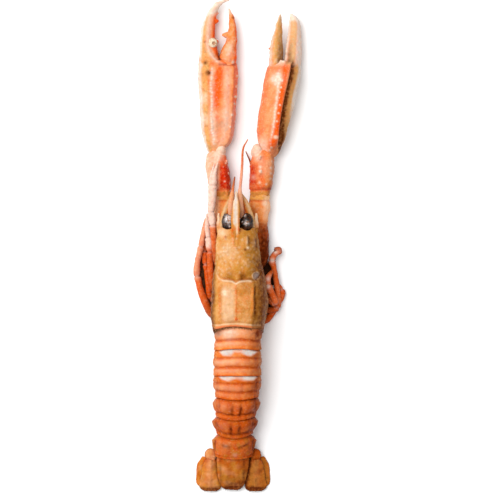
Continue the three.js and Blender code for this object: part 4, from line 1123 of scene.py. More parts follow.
# %% Model the eyes
def eye_finish():
    """Glossy black with cloudy grey patches, painted highlights, where the mask pale is painted."""
    material, tree, shader = new_finish("eye")
    patches = spread(tree, noise(tree, 2.2, 4.0), 0.42, 0.62)
    black = tint(tree, patches, srgb(10, 5, 2), srgb(60, 28, 8))
    stains = spread(tree, noise(tree, 1.2, 3.0), 0.46, 0.66)
    grey = tint(tree, stains, srgb(206, 196, 194), srgb(160, 108, 60))
    clouds = spread(tree, noise(tree, 2.0, 3.0), 0.38, 0.54, 0.4, 1.0)
    colour = tint(tree, math_node(tree, "MULTIPLY", mask(tree, "pale"), clouds), black, grey)
    tree.links.new(colour, shader.inputs["Base Color"])
    tree.links.new(spread(tree, noise(tree, 1.4), 0.3, 0.7, 0.2, 0.4), shader.inputs["Roughness"])
    relief(tree, shader, noise(tree, 1.1, 3.0), 0.35)
    shader.inputs["Specular IOR Level"].default_value = 0.1
    return material


EYE_FINISH = eye_finish()
EYE_HIGHLIGHTS = {
    "left": [[-12.6, 17.6, 1.8], [-12.7, 15.4, 1.9], [-11.6, 11.8, 0.6]],
    "right": [[-2.2, 18.4, 0.7], [-1.0, 13.8, 1.4], [-3.8, 14.6, 0.4]],
}  # X, Y and radius of the grey patches, which are painted highlights
for side, name in ((-1, "left"), (1, "right")):
    middle = eye_middle(side)
    stalk = course([
        [leaned(body_x(12) + side * 3.0, 20.4), 11.0, 20.4, 1.7, 1.7],
        [leaned(body_x(14) + side * 4.8, 21.6), 13.8, 21.6, 2.5, 2.4],
    ])
    parts = [ball(middle, EYE_SIZE, turn=side * -8), limb("stalk", stalk, 24, 8)]
    eye = melt(f"eye_{name}_skin", parts, voxel=0.25, rounds=4)
    points = read_points(eye)
    away = points - middle
    on_ball = np.linalg.norm(away / SOCKET_SIZE, axis=1) < 1
    lift(eye, (0.28 * uneven(points, 3.4, seed=90 + side) + 0.1 * uneven(points, 1.4, seed=93)) * on_ball)
    clouds = sum(bumps(points, place, radius) for *place, radius in EYE_HIGHLIGHTS[name])
    paint(eye, pale=1.2 * clouds * step(away[:, 2], 0.2, 1.6))
    dress(eye, EYE_FINISH, f"eye_{name}")

# %% [markdown]
# ## Feelers, scales and mouth legs
# Two blade-like scales stand beside the beak, each with a thorned foot next to the eye. The feelers that
# are left are thin ringed whips. A curve with a bevel could make a whip, but the fine rings come from its
# relief, so whips are limbs too, with a ring every millimetre. The jointed mouth legs hang under the head.

# %% Scales and their feet
SCALES = {
    "left": [
        [-16.4, 9.0, 18.4, 1.8, 1.4], [-16.0, 15.0, 19.0, 1.9, 1.3], [-14.2, 21.5, 20.4, 2.0, 1.2],
        [-12.0, 27.0, 22.0, 1.6, 1.0], [-10.2, 31.0, 23.2, 0.5, 0.5],
    ],
    "right": [
        [2.4, 9.0, 18.4, 1.8, 1.4], [2.2, 15.0, 19.0, 1.8, 1.3], [0.2, 21.5, 20.4, 1.9, 1.2],
        [-2.2, 27.5, 22.0, 1.6, 1.0], [-4.4, 32.0, 23.2, 0.5, 0.5],
    ],
}
FOOT_X = {"left": -17.6, "right": 4.0}


def scale_relief(along, angle):
    """A raised rib along each rim of a scale, with a hollow face between them."""
    degrees = np.degrees(angle)
    return 0.3 * (bump(degrees, 15, 18) + bump(degrees, 165, 18)) - 0.4 * bump(degrees, 90, 30)


for side, name in ((-1, "left"), (1, "right")):
    path = course(SCALES[name])
    scale = melt(f"feeler_scale_{name}_skin", [limb("scale", path, 32, 60, 2.0, scale_relief)], 0.22, 2)
    points = read_points(scale)
    right, up = on_path(path, points)[1:]
    outward = side * right
    lift(scale, 0.08 * uneven(points, 2.5, seed=100 + side))
    # Painted shade on the underside of the scale.
    paint(
        scale, blush=0.7 * step(outward, 0.0, -0.7), pale=0.5 * bump(outward, 0.4, 0.5) * (up > -0.2),
        shade=0.4 * step(up, -0.2, -0.8), gold=0.5 * step(outward, -0.6, 0.0),
    )
    dress(scale, HEAD_FINISH, f"feeler_scale_{name}")
    parts = [
        ball([FOOT_X[name], 10.6, 14.6], [2.4, 4.2, 2.6]),
        thorn([FOOT_X[name] + side * 0.2, 11.4, 15.6], [side * 0.12, 1, 0.3], 2.5, 9.0),
    ]
    foot = melt(f"feeler_foot_{name}_skin", parts, 0.25, 3)
    points = read_points(foot)
    lift(foot, 0.15 * uneven(points, 2.5, seed=104 + side))
    x, y, z = points.T
    # Painted shade on the lower part of the foot.
    paint(foot, blush=np.full(len(x), 0.3), pale=0.8 * step(y, 10, 16), shade=0.2 * (z < 14))
    dress(foot, HEAD_FINISH, f"feeler_foot_{name}")

# %% Whips and mouth legs
FEELERS = {
    "feeler_front_left": [
        [-10.8, 18.0, 22.6, 1.9], [-10.7, 25.0, 25.2, 2.0], [-10.2, 31.0, 26.2, 1.6], [-9.8, 34.0, 26.6, 1.0],
        [-8.5, 42.9, 26.2, 0.4],
    ],
    "feeler_front_right": [
        [-4.4, 17.5, 22.4, 1.9], [-5.1, 24.0, 25.0, 2.1], [-5.3, 32.0, 26.4, 1.6], [-5.1, 36.0, 26.4, 1.0],
        [-4.4, 42.3, 26.2, 0.9], [-3.8, 51.2, 24.6, 0.8], [-3.2, 60.8, 22.0, 0.6], [-0.3, 66.6, 20.4, 0.35],
    ],
    "feeler_long_right": [
        [0.4, 12.0, 13.2, 1.1], [0.6, 22.0, 8.0, 0.8], [1.6, 31.0, 2.4, 0.65], [2.6, 42.0, 1.1, 0.6],
        [1.4, 52.4, 1.2, 0.55], [-1.6, 59.8, 3.2, 0.35],
    ],
}  # stations: x, y, z and the half thickness
FEELER_DARK_ENDS_AND_SHADE = {
    "feeler_front_left": [0.7, 0.6, 1.0, 0.1],
    "feeler_front_right": [0.2, 0.5, 1.0, 0.4],
    "feeler_long_right": [0.8, -1.0, 0.0, 0.0],
}  # how dark the far end is, the shares of the length between which it darkens, the painted shade on the foot
RING_SPACE = 0.95  # the whips' rings, mm apart
MOUTH_LEG = [
    [4, 3.6, 4.6, 8.2, 2.0, 2.4], [10, 4.0, 11.0, 12.4, 1.8, 2.6], [18, 3.4, 19.0, 14.6, 1.6, 2.2],
    [22, 2.8, 23.6, 12.4, 1.5, 1.8], [20, 2.4, 25.0, 8.4, 1.2, 1.2],
]  # where the midline is read, distance beside it, y, z, half width, half height


def whip(points):
    """Round stations from rows with one half thickness."""
    return [[*row, row[3]] for row in points]


def whip_relief(along, angle):
    """The fine rings of a feeler."""
    return 0.07 * np.cos(along * 2 * math.pi / RING_SPACE)


for node, stations in FEELERS.items():
    path = course(whip(stations))
    feeler = limb(f"{node}_skin", path, 14, 6 * round(path["along"][-1] / RING_SPACE), 2.0, whip_relief)
    points = read_points(feeler)
    share = on_path(path, points)[0] / path["along"][-1]
    y = points[:, 1]
    end_dark, dark_from, dark_to, foot_dark = FEELER_DARK_ENDS_AND_SHADE[node]
    foot = step(y, 36, 31) * (node != "feeler_long_right")
    # The foot's shade is painted shade beside the beak; the dark far ends are the whips' own colour.
    paint(
        feeler, blush=0.3 * step(share, 0.3, 0.8) + 0.3 * step(y, 30, 26) * foot, gold=0.6 * foot,
        pale=0.5 * step(share, 0.9, 0.2) * (1 - 0.4 * foot),
        shade=end_dark * step(share, dark_from, dark_to) + foot_dark * step(y, 25, 20) * foot,
    )
    dress(feeler, LEG_FINISH, node)
for side, name in ((-1, "left"), (1, "right")):
    path = course([[float(body_x(at)) + side * beside, *rest] for at, beside, *rest in MOUTH_LEG])
    mouth_leg = limb(f"mouth_leg_{name}_skin", path, 32, 60)
    points = read_points(mouth_leg)
    along, _, up = on_path(path, points)
    joints = sum(bump(along, place, 0.5) for place in path["stations"][1:4])
    lift(mouth_leg, 0.12 * uneven(points, 2.5, seed=108 + side) - 0.4 * joints)
    # A painted highlight on top; the darker joints are their own.
    paint(mouth_leg, blush=0.5 + 0.3 * joints, pale=0.2 * bump(up, 1, 0.4), shade=0.25 + 0.3 * joints)
    dress(mouth_leg, LEG_FINISH, f"mouth_leg_{name}")

# %% [markdown]
# ## Claws
# The two big claws aren't alike: the left one is the crusher, with a broad palm and blunt teeth, and the
# right one the cutter, narrower and rolled on its side. Each claw is four pieces: the arm, the wrist, the
# hand with its fixed finger, and the moving thumb. Hand, wrist and thumb are melted from limbs, teeth and
# thorns.

# %% The claws' stations
CLAWS = {
    "left": {
        "side": -1,
        "roll": 4,
        "palm": [
            [-21.2, 58.4, 6.2, 3.2, 3.2], [-21.5, 61.4, 6.3, 4.8, 4.2], [-20.7, 65.0, 6.4, 7.2, 5.4],
            [-19.8, 68.6, 6.2, 9.0, 6.0], [-19.4, 76.8, 6.4, 10.2, 6.6], [-19.3, 92.8, 6.6, 11.1, 6.8],
            [-19.3, 105.6, 6.6, 11.9, 6.8], [-19.3, 112.4, 6.5, 12.0, 6.2], [-19.9, 117.0, 6.6, 10.4, 4.8],
        ],
        "finger": [
            [-25.2, 108.0, 7.0, 6.4, 6.2], [-25.0, 118.4, 6.8, 6.6, 5.6], [-25.6, 126.0, 6.4, 5.4, 4.9],
            [-25.7, 132.0, 6.2, 4.6, 4.4], [-25.3, 138.5, 6.0, 4.1, 3.9], [-23.7, 145.0, 5.8, 3.5, 3.4],
            [-21.4, 150.4, 5.6, 2.4, 2.6], [-17.8, 154.4, 5.4, 1.5, 1.6], [-12.4, 156.6, 5.2, 0.4, 0.4],
        ],
        "thumb": [
            [-11.6, 114.6, 7.2, 4.0, 4.2], [-12.8, 119.4, 7.4, 5.6, 5.2], [-11.9, 124.4, 7.2, 4.6, 4.8],
            [-10.6, 129.8, 6.8, 3.5, 4.2], [-10.1, 137.6, 6.4, 2.5, 3.4], [-10.5, 144.0, 6.0, 1.8, 2.6],
            [-12.4, 150.6, 5.6, 0.4, 0.5],
        ],
        "wrist": [
            [-15.8, 30.4, 6.0, 4.6, 4.2], [-17.0, 35.0, 6.4, 6.2, 5.4], [-18.8, 43.0, 6.9, 7.2, 6.4],
            [-20.0, 50.0, 6.9, 7.1, 6.4], [-20.2, 56.0, 6.7, 6.4, 5.8], [-19.8, 59.6, 6.5, 4.6, 4.4],
        ],
        "arm": [
            [-16.2, 32.2, 5.8, 5.4, 4.8], [-16.2, 25.6, 5.8, 5.9, 5.2], [-17.0, 12.8, 5.8, 5.2, 4.8],
            [-17.0, 0, 5.2, 4.6, 4.2], [-15.2, -9.0, 4.4, 3.8, 3.6], [-13.6, -13.6, 4.0, 3.2, 3.2],
        ],
        "knob": [[-17.6, 60.4, 7.8], [3.4, 4.4, 4.0]],
        "finger teeth": [
            [[-23.0, 142.6, 6.0], [1, 0.05, 0], 3.2, 4.6], [[-21.4, 147.0, 5.8], [1, 0.25, 0], 1.7, 3.0],
            [[-21.4, 129.4, 6.4], [1, 0, 0], 2.6, 2.4],
        ],
        "thumb teeth": [[[-11.4, 133.4, 6.6], [-1, 0.12, 0], 3.0, 5.4]],
        "wrist thorns": [[-14.2, 52.0, 9.4], [-13.2, 44.0, 9.4], [-12.6, 37.4, 8.6]],
        "edge height": 7.8,
    },
    "right": {
        "side": 1,
        "roll": -24,
        "palm": [
            [13.2, 56.4, 7.2, 3.2, 3.4], [13.9, 60.2, 7.6, 5.6, 5.2], [14.2, 66.0, 8.2, 8.2, 7.0],
            [15.4, 76.8, 8.8, 9.6, 8.0], [18.2, 89.6, 8.8, 10.3, 8.2], [20.6, 102.4, 8.8, 10.6, 8.2],
            [22.2, 110.7, 8.6, 10.3, 7.6], [23.4, 116.2, 8.0, 8.8, 5.4],
        ],
        "finger": [
            [27.2, 106.0, 7.6, 5.6, 6.4], [28.2, 117.1, 7.2, 5.1, 6.0], [28.7, 124.8, 6.8, 4.8, 5.4],
            [29.2, 131.2, 6.4, 4.4, 4.8], [29.6, 137.6, 6.0, 3.8, 4.0], [29.0, 142.8, 5.6, 2.8, 3.0],
            [27.5, 147.4, 5.2, 0.6, 0.6],
        ],
        "thumb": [
            [17.7, 112.6, 9.0, 4.0, 4.6], [17.8, 118.4, 9.2, 4.2, 5.0], [18.0, 124.8, 9.0, 3.9, 4.6],
            [18.3, 129.9, 8.6, 3.4, 4.0], [19.2, 136.3, 8.0, 2.3, 3.1], [19.8, 141.8, 7.4, 1.5, 2.2],
            [20.5, 146.8, 6.8, 0.4, 0.5],
        ],
        "wrist": [
            [7.4, 30.6, 6.2, 5.4, 4.6], [7.5, 35.4, 6.8, 7.0, 6.0], [8.4, 43.6, 7.5, 7.4, 7.0],
            [9.0, 51.2, 7.5, 7.6, 7.0], [9.5, 57.0, 7.3, 6.8, 6.2], [9.8, 60.0, 7.1, 5.2, 4.8],
        ],
        "arm": [
            [7.6, 32.2, 6.2, 6.2, 5.4], [7.2, 25.6, 6.2, 6.7, 5.6], [7.2, 14.7, 6.0, 5.3, 5.0],
            [8.2, 3.2, 5.6, 4.7, 4.4], [9.0, -7.0, 5.0, 3.9, 3.9], [6.8, -13.2, 4.4, 3.3, 3.3],
        ],
        "knob": [[5.4, 59.6, 8.6], [3.8, 4.6, 4.6]],
        "finger teeth": [[[25.6, 130.0, 6.6], [-1, 0.3, 0], 1.6, 1.4]],
        "thumb teeth": [[[15.8, 124.4, 9.0], [-1, 0.3, 0], 1.5, 3.0]],
        "wrist thorns": [
            [13.8, 56.4, 10.4], [14.0, 51.6, 10.8], [13.6, 46.4, 10.6], [7.0, 54.6, 14.0], [7.2, 45.2, 14.0],
        ],
        "edge height": 6.6,
    },
}
PALM_KEELS = [[-5, 0.7, 14], [185, 0.7, 14], [118, 0.9, 11], [52, 0.9, 11]]  # degrees round, rise, width
MARGIN_NODES = {
    "left": [
        [-7.2, 107.4, 1.0], [-7.7, 100.8, 1.0], [-8.1, 94.3, 1.0], [-8.8, 89.7, 0.9], [-10.4, 82.7, 1.0],
        [-11.6, 75.0, 1.1], [-14.8, 67.6, 2.0],
    ],
    "right": [[9.8, 97.0, 0.9], [9.3, 90.6, 0.9], [8.0, 81.2, 0.9], [6.2, 75.2, 0.9]],
}  # the knobs on each palm's inner margin: X, Y and radius


def palm_relief(path):
    """The keels along a palm, lower where the palm is thin."""
    thickest = path["half"].min(axis=1).max()

    def raised(along, angle):
        thin = np.interp(along, path["along"], path["half"].min(axis=1)) / thickest
        degrees = np.degrees(angle)
        keels = (
            rise * bump(np.abs((degrees - where + 540) % 360 - 180), 0, width)
            for where, rise, width in PALM_KEELS
        )
        return thin * sum(keels)

    return raised


def edge_row(stations, side, first, last, step_length, overlap):
    """Places along a claw's edge: X, Y. side -1 is the edge on the picture's left."""
    table = np.array(stations)
    places = np.arange(first, last, step_length)
    x, half_width = read_rows(table[:, [1, 0, 3]], places).T
    return np.column_stack([x + side * (half_width - overlap), places])


def saw(path, side, first, last, spacing, radius, rise, height):
    """A row of small biting teeth along one side of a finger."""
    places = np.arange(first, last, spacing)
    teeth = []
    for number, share in enumerate(places / path["along"][-1]):
        middle = sample(path, "middle", [share])[0]
        right = sample(path, "right", [share])[0]
        half_width = sample(path, "half", [share])[0][0]
        foot = middle + side * right * (half_width - 0.5) + np.array([0, 0, height])
        teeth.append(thorn(foot, side * right, radius, rise * (1.25 if number % 3 == 0 else 0.9)))
    return teeth


hands, thumbs, wrists, arms, paths = {}, {}, {}, {}, {}
for name, claw in CLAWS.items():
    side, roll = claw["side"], claw["roll"]
    paths[name] = {part: course(claw[part], roll) for part in ("palm", "finger", "thumb")}
    paths[name] |= {part: course(claw[part]) for part in ("wrist", "arm")}
    path = paths[name]
    parts = [
        limb("palm", path["palm"], 72, 80, 3.0 if name == "left" else 2.4, palm_relief(path["palm"])),
        limb("finger", path["finger"], 48, 60, 2.2),
    ]
    parts += [thorn(*tooth) for tooth in claw["finger teeth"]]
    for x, y, radius in MARGIN_NODES[name]:
        parts.append(ball([x, y, claw["edge height"]], [radius * 0.9, radius * 1.1, radius * 0.9]))
    parts += saw(path["finger"], -side, 14, path["finger"]["along"][-1] - 5, 1.9, 1.0, 0.5, 0.0)
    hands[name] = melt(f"claw_hand_{name}_skin", parts, 0.36, 2)
    parts = [limb("thumb", path["thumb"], 48, 60, 2.2)] + [thorn(*tooth) for tooth in claw["thumb teeth"]]
    parts += saw(path["thumb"], side, 12, path["thumb"]["along"][-1] - 4, 1.9, 0.9, 0.5, 0.0)
    thumbs[name] = melt(f"claw_thumb_{name}_skin", parts, 0.3, 2)
    parts = [limb("wrist", path["wrist"], 56, 50, 2.4), ball(*claw["knob"])]
    parts += [thorn(foot, [0.35, 0.8, 0.7], 1.1, 2.8) for foot in claw["wrist thorns"]]
    wrists[name] = melt(f"claw_wrist_{name}_skin", parts, 0.32, 2)
    arms[name] = melt(f"claw_arm_{name}_skin", [limb("arm", path["arm"], 56, 60, 2.3)], 0.36, 1)
    print(name, "claw melted: the hand has", len(hands[name].data.vertices), "points")

# %% [markdown]
# ## Relief and colour of the hands
# Rows of small tubercles run along the palm's keels and its margins, with smooth hollows between them. The
# crusher's palm has an orange band in its middle and a golden outer field. The cutter's palm has a red
# keel beside a deep brown groove. All of it is drawn in the palm's own coordinates: right runs from -1 to
# 1 across.

# %% Finish the left hand
def row_of_bumps(rows, first, last, spacing, jitter, seed):
    """Places of a slightly irregular row of bumps that follows rows [Y, X]."""
    chance = np.random.default_rng(seed)
    places = np.arange(first, last, spacing)
    places = places + chance.uniform(-jitter, jitter, len(places))
    across = read_rows(rows, places)[:, 0] + chance.uniform(-jitter, jitter, len(places))
    return np.column_stack([across, places])


LEFT_RIDGE = [[62, -21.6], [74, -22.8], [92, -23.4], [106, -23.6], [113, -22.6]]
LEFT_SECOND_RIDGE = [[62, -20], [112, -21.0]]
LEFT_BAND = [[86, -21.0], [96, -20.2], [107, -18.6], [112, -18.0]]
LEFT_FINGER_RIDGE = [
    [114, -18.6], [117, -20.6], [119.7, -23.2], [124.8, -25.6], [135.7, -25.7], [142, -25.2], [147.8, -23.6],
    [152, -20.6],
]  # these rows are Y, X
OUTER_ROW_HEIGHT = 6.6  # Z of the row of bumps on the outer margin
DARK_SPOTS = [
    [-25.4, 109.2, 1.6, 1.2], [-27.3, 115.8, 1.4, 0.8], [-27.4, 129.2, 1.0, 0.5], [-17.4, 77.6, 2.6, 0.2],
    [-18.6, 75.0, 4.4, 0.12],
]
ORANGE_SPOTS = [[-20.0, 80.8], [-22.6, 70.6], [-19.0, 66.0]]
PALE_SPOTS = [[-27.2, 93.0, 3.4, 0.5], [-27.4, 79.8, 3.4, 0.5]]
# Where a painted shadow lies in the gap between finger and thumb: X, Y.
FINGER_GAP_SHADOW = [-18.6, 121.2]
FINGER_CREASE = 114.6  # Y of the crease between palm and finger
hand = hands["left"]
path = paths["left"]
points = read_points(hand)
facing = read_normals(hand)
palm_right, up = on_path(path["palm"], points)[1:]
finger_right = on_path(path["finger"], points)[1]
x, y, z = points.T
on_top = step(facing[:, 2], 0.05, 0.5)
on_palm = step(y, 119, 114)
on_finger = step(y, 115, 121)
right = palm_right * on_palm + (1 - on_palm) * finger_right
from_ridge = x - read_rows(LEFT_RIDGE, y)[:, 0]
from_finger_ridge = x - read_rows(LEFT_FINGER_RIDGE, y)[:, 0]
knobs = np.array(MARGIN_NODES["left"])[:, :2]
margin_knobs = bumps(points, knobs, 1.1) * step(right, 0.6, 0.75)
ridge_bumps = bumps(points, row_of_bumps(LEFT_RIDGE, 64, 112, 1.7, 0.5, seed=120), 0.75) * on_top
second_bumps = bumps(points, row_of_bumps(LEFT_SECOND_RIDGE, 64, 112, 2.3, 1.0, seed=121), 0.7) * on_top
outer_feet = edge_row(CLAWS["left"]["palm"], -1, 66, 116, 3.1, overlap=0.6)
outer_feet = np.column_stack([outer_feet, np.full(len(outer_feet), OUTER_ROW_HEIGHT)])
outer_bumps = bumps(points, outer_feet, 1.0)
finger_ridge = bump(from_finger_ridge, 0, 1.5) * step(y, 113, 116) * on_top
near_crease = band(x, -19, -8, 1.0) * on_top
grain = bumps(points, scatter(points, facing[:, 2] > -0.3, 420, seed=122), 0.7)
band_here = bump(x, read_rows(LEFT_BAND, y)[:, 0], 2.5) * band(y, 87, 113, 3) * on_top
height = 0.26 * uneven(points, 12, seed=123) + 0.12 * uneven(points, 3.0, seed=124) + 0.14 * grain
height += 0.35 * ridge_bumps + 0.2 * second_bumps + 0.3 * margin_knobs + 0.4 * outer_bumps
height += 0.7 * finger_ridge - 0.5 * bump(y, FINGER_CREASE, 0.9) * near_crease
height -= 0.4 * bump(right, 0.0, 0.24) * band(y, 72, 112, 5) * on_top
height += 0.35 * bump(right, 0.42, 0.16) * band(y, 66, 112, 6) * on_top
lift(hand, height)

outer_field = step(from_ridge, -1.2, -3.2) * on_palm
outer_field += step(from_finger_ridge, -0.9, -1.9) * on_finger * step(y, 152, 146)
inner_edge = step(right, 0.76, 0.9) * on_palm + step(from_finger_ridge, 2.2, 3.8) * on_finger
blush = 0.1 + 1.25 * band_here + 0.9 * inner_edge * (1 - step(margin_knobs, 0.3, 0.7))
blush += 0.35 * step(uneven(points, 5, seed=125), 0.1, 0.9) * on_palm * step(y, 84, 92)
blush += 0.7 * bumps(points, ORANGE_SPOTS, 1.6) * on_top + 0.5 * bump(y, 115.5, 1.4) * on_palm
blush = blush * (1 - outer_field)
pale = 0.5 * ridge_bumps + 0.15 * second_bumps + 0.7 * step(margin_knobs, 0.35, 0.9)
# A little painted light on the inner edge, which turns away from the lamp.
pale += 0.15 * inner_edge * on_palm + 0.3 * outer_bumps * (z > 5)
pale += 0.2 * band(y, 60, 86, 4) * (1 - outer_field) + 0.2 * bump(right, 0.42, 0.2) * on_top * on_palm
pale += 0.95 * step(finger_right, -0.6, -0.9) * on_finger + 1.0 * step(y, 144, 152)
pale += 0.6 * bump(from_finger_ridge, 0.4, 1.8) * step(y, 112, 118) * on_top
pale += outer_field * marks(points, PALE_SPOTS) + 0.7 * step(right, -0.85, -1.0) * on_palm
pale += 0.25 * bump(right, 0.5, 0.2) * band(y, 74, 112, 4) * on_top
pale += 0.4 * bump(from_ridge, 0.4, 1.5) * band(y, 66, 113, 3) * on_top
gold = 0.9 * outer_field * (0.7 + 0.3 * step(uneven(points, 6, seed=127), -0.6, 0.6))
gold += 0.4 * step(y, 70, 62)
# Painted shade under the palm and in the crease before the finger, and a painted shadow in the gap at the
# thumb.
shade = 0.4 * step(up * on_palm, -0.3, -0.9) + 0.5 * bump(y, FINGER_CREASE, 0.8) * near_crease
shade += 0.9 * bumps(points, FINGER_GAP_SHADOW, 1.7) * step(finger_right, 0.3, 0.8)
shade += 0.22 * outer_field * step(uneven(points, 4, seed=128), 0.2, 1.0)
shade += marks(points, DARK_SPOTS) * on_top
film = 0.35 * step(right, -0.8, -1.0) * on_palm + 0.4 * step(finger_right, -0.7, -0.95) * on_finger
paint(hand, blush=blush, pale=pale, shade=shade, gold=gold, film=film)
dress(hand, CLAW_FINISH, "claw_hand_left")

# %% Finish the right hand
PALE_LINE = [[60, 13.0], [71.6, 15.4], [75.4, 16.1], [83, 16.9], [92.2, 18.2], [101.6, 19.1], [110, 19.8]]
RED_KEEL = [[60, 14.6], [64.2, 15.6], [72.6, 17.9], [80.6, 19.0], [91.6, 20.6], [99.8, 21.9], [110, 23.6]]
BROWN_GROOVE = [
    [60, 18.2], [66.8, 20.2], [71.6, 20.8], [81, 22.0], [90.4, 23.5], [100, 25.6], [109.6, 27.7], [122, 29.0],
]  # these rows are Y, X
KEEL_KNOBS = [
    [21.0, 99.6, 0.9], [20.3, 96.6, 0.8], [20.3, 88.4, 0.9], [19.4, 83.2, 0.9], [18.3, 78.2, 0.9],
    [17.4, 68.4, 1.6], [14.8, 62.0, 1.2], [13.8, 60.2, 1.0], [21.8, 103.6, 0.8], [19.9, 93.0, 0.7],
]  # X, Y and radius of the pale bumps along the red keel
PALE_PATCH = [18.2, 105.0]
RED_SPOTS = [[19.0, 109.6], [22.0, 101.8], [23.4, 110.0]]
hand = hands["right"]
path = paths["right"]
points = read_points(hand)
facing = read_normals(hand)
right = on_path(path["palm"], points)[1]
finger_right = on_path(path["finger"], points)[1]
x, y, z = points.T
on_top = step(facing[:, 2], 0.05, 0.5)
on_palm = step(y, 118, 112)
on_finger = 1 - on_palm
from_groove = x - read_rows(BROWN_GROOVE, y)[:, 0]
from_line = x - read_rows(PALE_LINE, y)[:, 0]
from_keel = x - read_rows(RED_KEEL, y)[:, 0]
pale_line = bump(from_line, 0, 1.0) * band(y, 68, 108, 4) * on_top
red_keel = bump(from_keel, 0, 1.6 + 0.8 * step(y, 82, 70)) * band(y, 62, 113, 3) * on_top
groove = bump(from_groove, 0.2, 1.3) * band(y, 64, 116, 4) * step(facing[:, 2], -0.1, 0.2)
outer_strip = step(from_groove, 0.0, 1.4) * on_palm
keel_bumps = np.max([bumps(points, place, radius) for *place, radius in KEEL_KNOBS], axis=0) * on_top
line_bumps = bumps(points, row_of_bumps(PALE_LINE, 64, 112, 2.0, 0.7, seed=131), 0.7) * on_top
knobs = np.array(MARGIN_NODES["right"])[:, :2]
margin_knobs = bumps(points, knobs, 1.1) * step(right, -0.5, -0.7) * step(facing[:, 2], 0.0, 0.4)
patch = bumps(points, PALE_PATCH, 3.4) * on_top
patch_bumps = bumps(points, scatter(points, patch > 0.3, 16, seed=132), 0.9)
grain = bumps(points, scatter(points, facing[:, 2] > -0.3, 420, seed=133), 0.7)
height = 0.24 * uneven(points, 12, seed=134) + 0.12 * uneven(points, 3.0, seed=135) + 0.14 * grain
height += 0.3 * pale_line + 0.9 * red_keel - 1.7 * groove + 0.5 * keel_bumps + 0.35 * line_bumps
height += 0.3 * margin_knobs + 0.4 * patch_bumps + 0.5 * bump(finger_right, -0.35, 0.22) * on_finger * on_top
lift(hand, height)

outward = step(from_groove, 3.2, 5.0) * (0.35 + 0.65 * step(z, 2, 11))
outward *= 0.8 + 0.2 * step(uneven(points, 5, seed=137), -0.6, 0.6)
inner_edge = step(from_line, -5.5, -7.0) * on_palm
finger_edge = step(finger_right, 0.6, 0.95) * on_finger * (0.5 + 0.5 * step(z, 2, 10))
blush = 0.1 + 1.3 * red_keel * (1 - keel_bumps) + 0.5 * bump(y, 112.5, 2.0) * on_top
blush += 0.3 * step(uneven(points, 5, seed=136), 0.1, 0.9) * on_palm
blush += 0.35 * inner_edge * (1 - step(margin_knobs, 0.3, 0.7)) + 0.8 * bumps(points, RED_SPOTS, 1.2) * on_top
blush = blush * (1 - step(from_groove, 0.0, 1.4)) * on_palm + 0.35 * step(y, 124, 112) * on_finger
pale = 0.45 * pale_line + 0.6 * step(keel_bumps, 0.35, 0.95) + 0.35 * line_bumps
pale += 0.7 * step(margin_knobs, 0.35, 0.9) + 0.35 * patch_bumps + 0.75 * patch
pale += 0.5 * step(y, 72, 62) * step(right, 0.4, -0.2) + 0.95 * step(y, 140.5, 145)
pale += 0.85 * step(finger_right, -0.05, -0.5) * on_finger + 0.6 * finger_edge + 0.18 * on_finger
pale += outer_strip * outward * step(y, 76, 92)
pale += 0.1 * on_palm * (1 - step(from_groove, 0.0, 1.4)) * (1 - red_keel)
gold = 0.95 * outer_strip + 1.0 * band(finger_right, -0.1, 0.7, 0.12) * on_finger
# The brown groove is darkened more by painted shade in its hollow, and painted shade lies low down near the
# table.
shade = 1.35 * groove + 0.22 * band(from_groove, 0.8, 2.6, 0.8) * on_palm
shade += outer_strip * (0.1 + 0.35 * step(y, 88, 66) * (1 - 0.7 * outward)) + 0.35 * step(z, 5, 1.5)
shade += 0.7 * band(finger_right, -0.25, 0.3, 0.25) * step(y, 137, 116) * on_finger
shade += 0.45 * step(y, 68, 60) * step(right, 0, 0.6)
film = 0.75 * outer_strip * outward * step(y, 74, 96) + 0.45 * finger_edge
paint(hand, blush=blush, pale=pale, shade=shade, gold=gold, film=film)
dress(hand, CLAW_FINISH, "claw_hand_right")

# %% [markdown]
# ## Thumbs, wrists and arms
# The thumb is hinged in the hand and closes against the finger. The wrist is the reddest part, with a big
# cream knob where the hand turns on it, and a few white thorns. The arm leads back under the carapace and
# is paler. The same few steps finish them all: a wavy skin, small bumps, and colour by place. The colour
# holds painted shade underneath and on the sides turned from the light, and painted light on the arms.

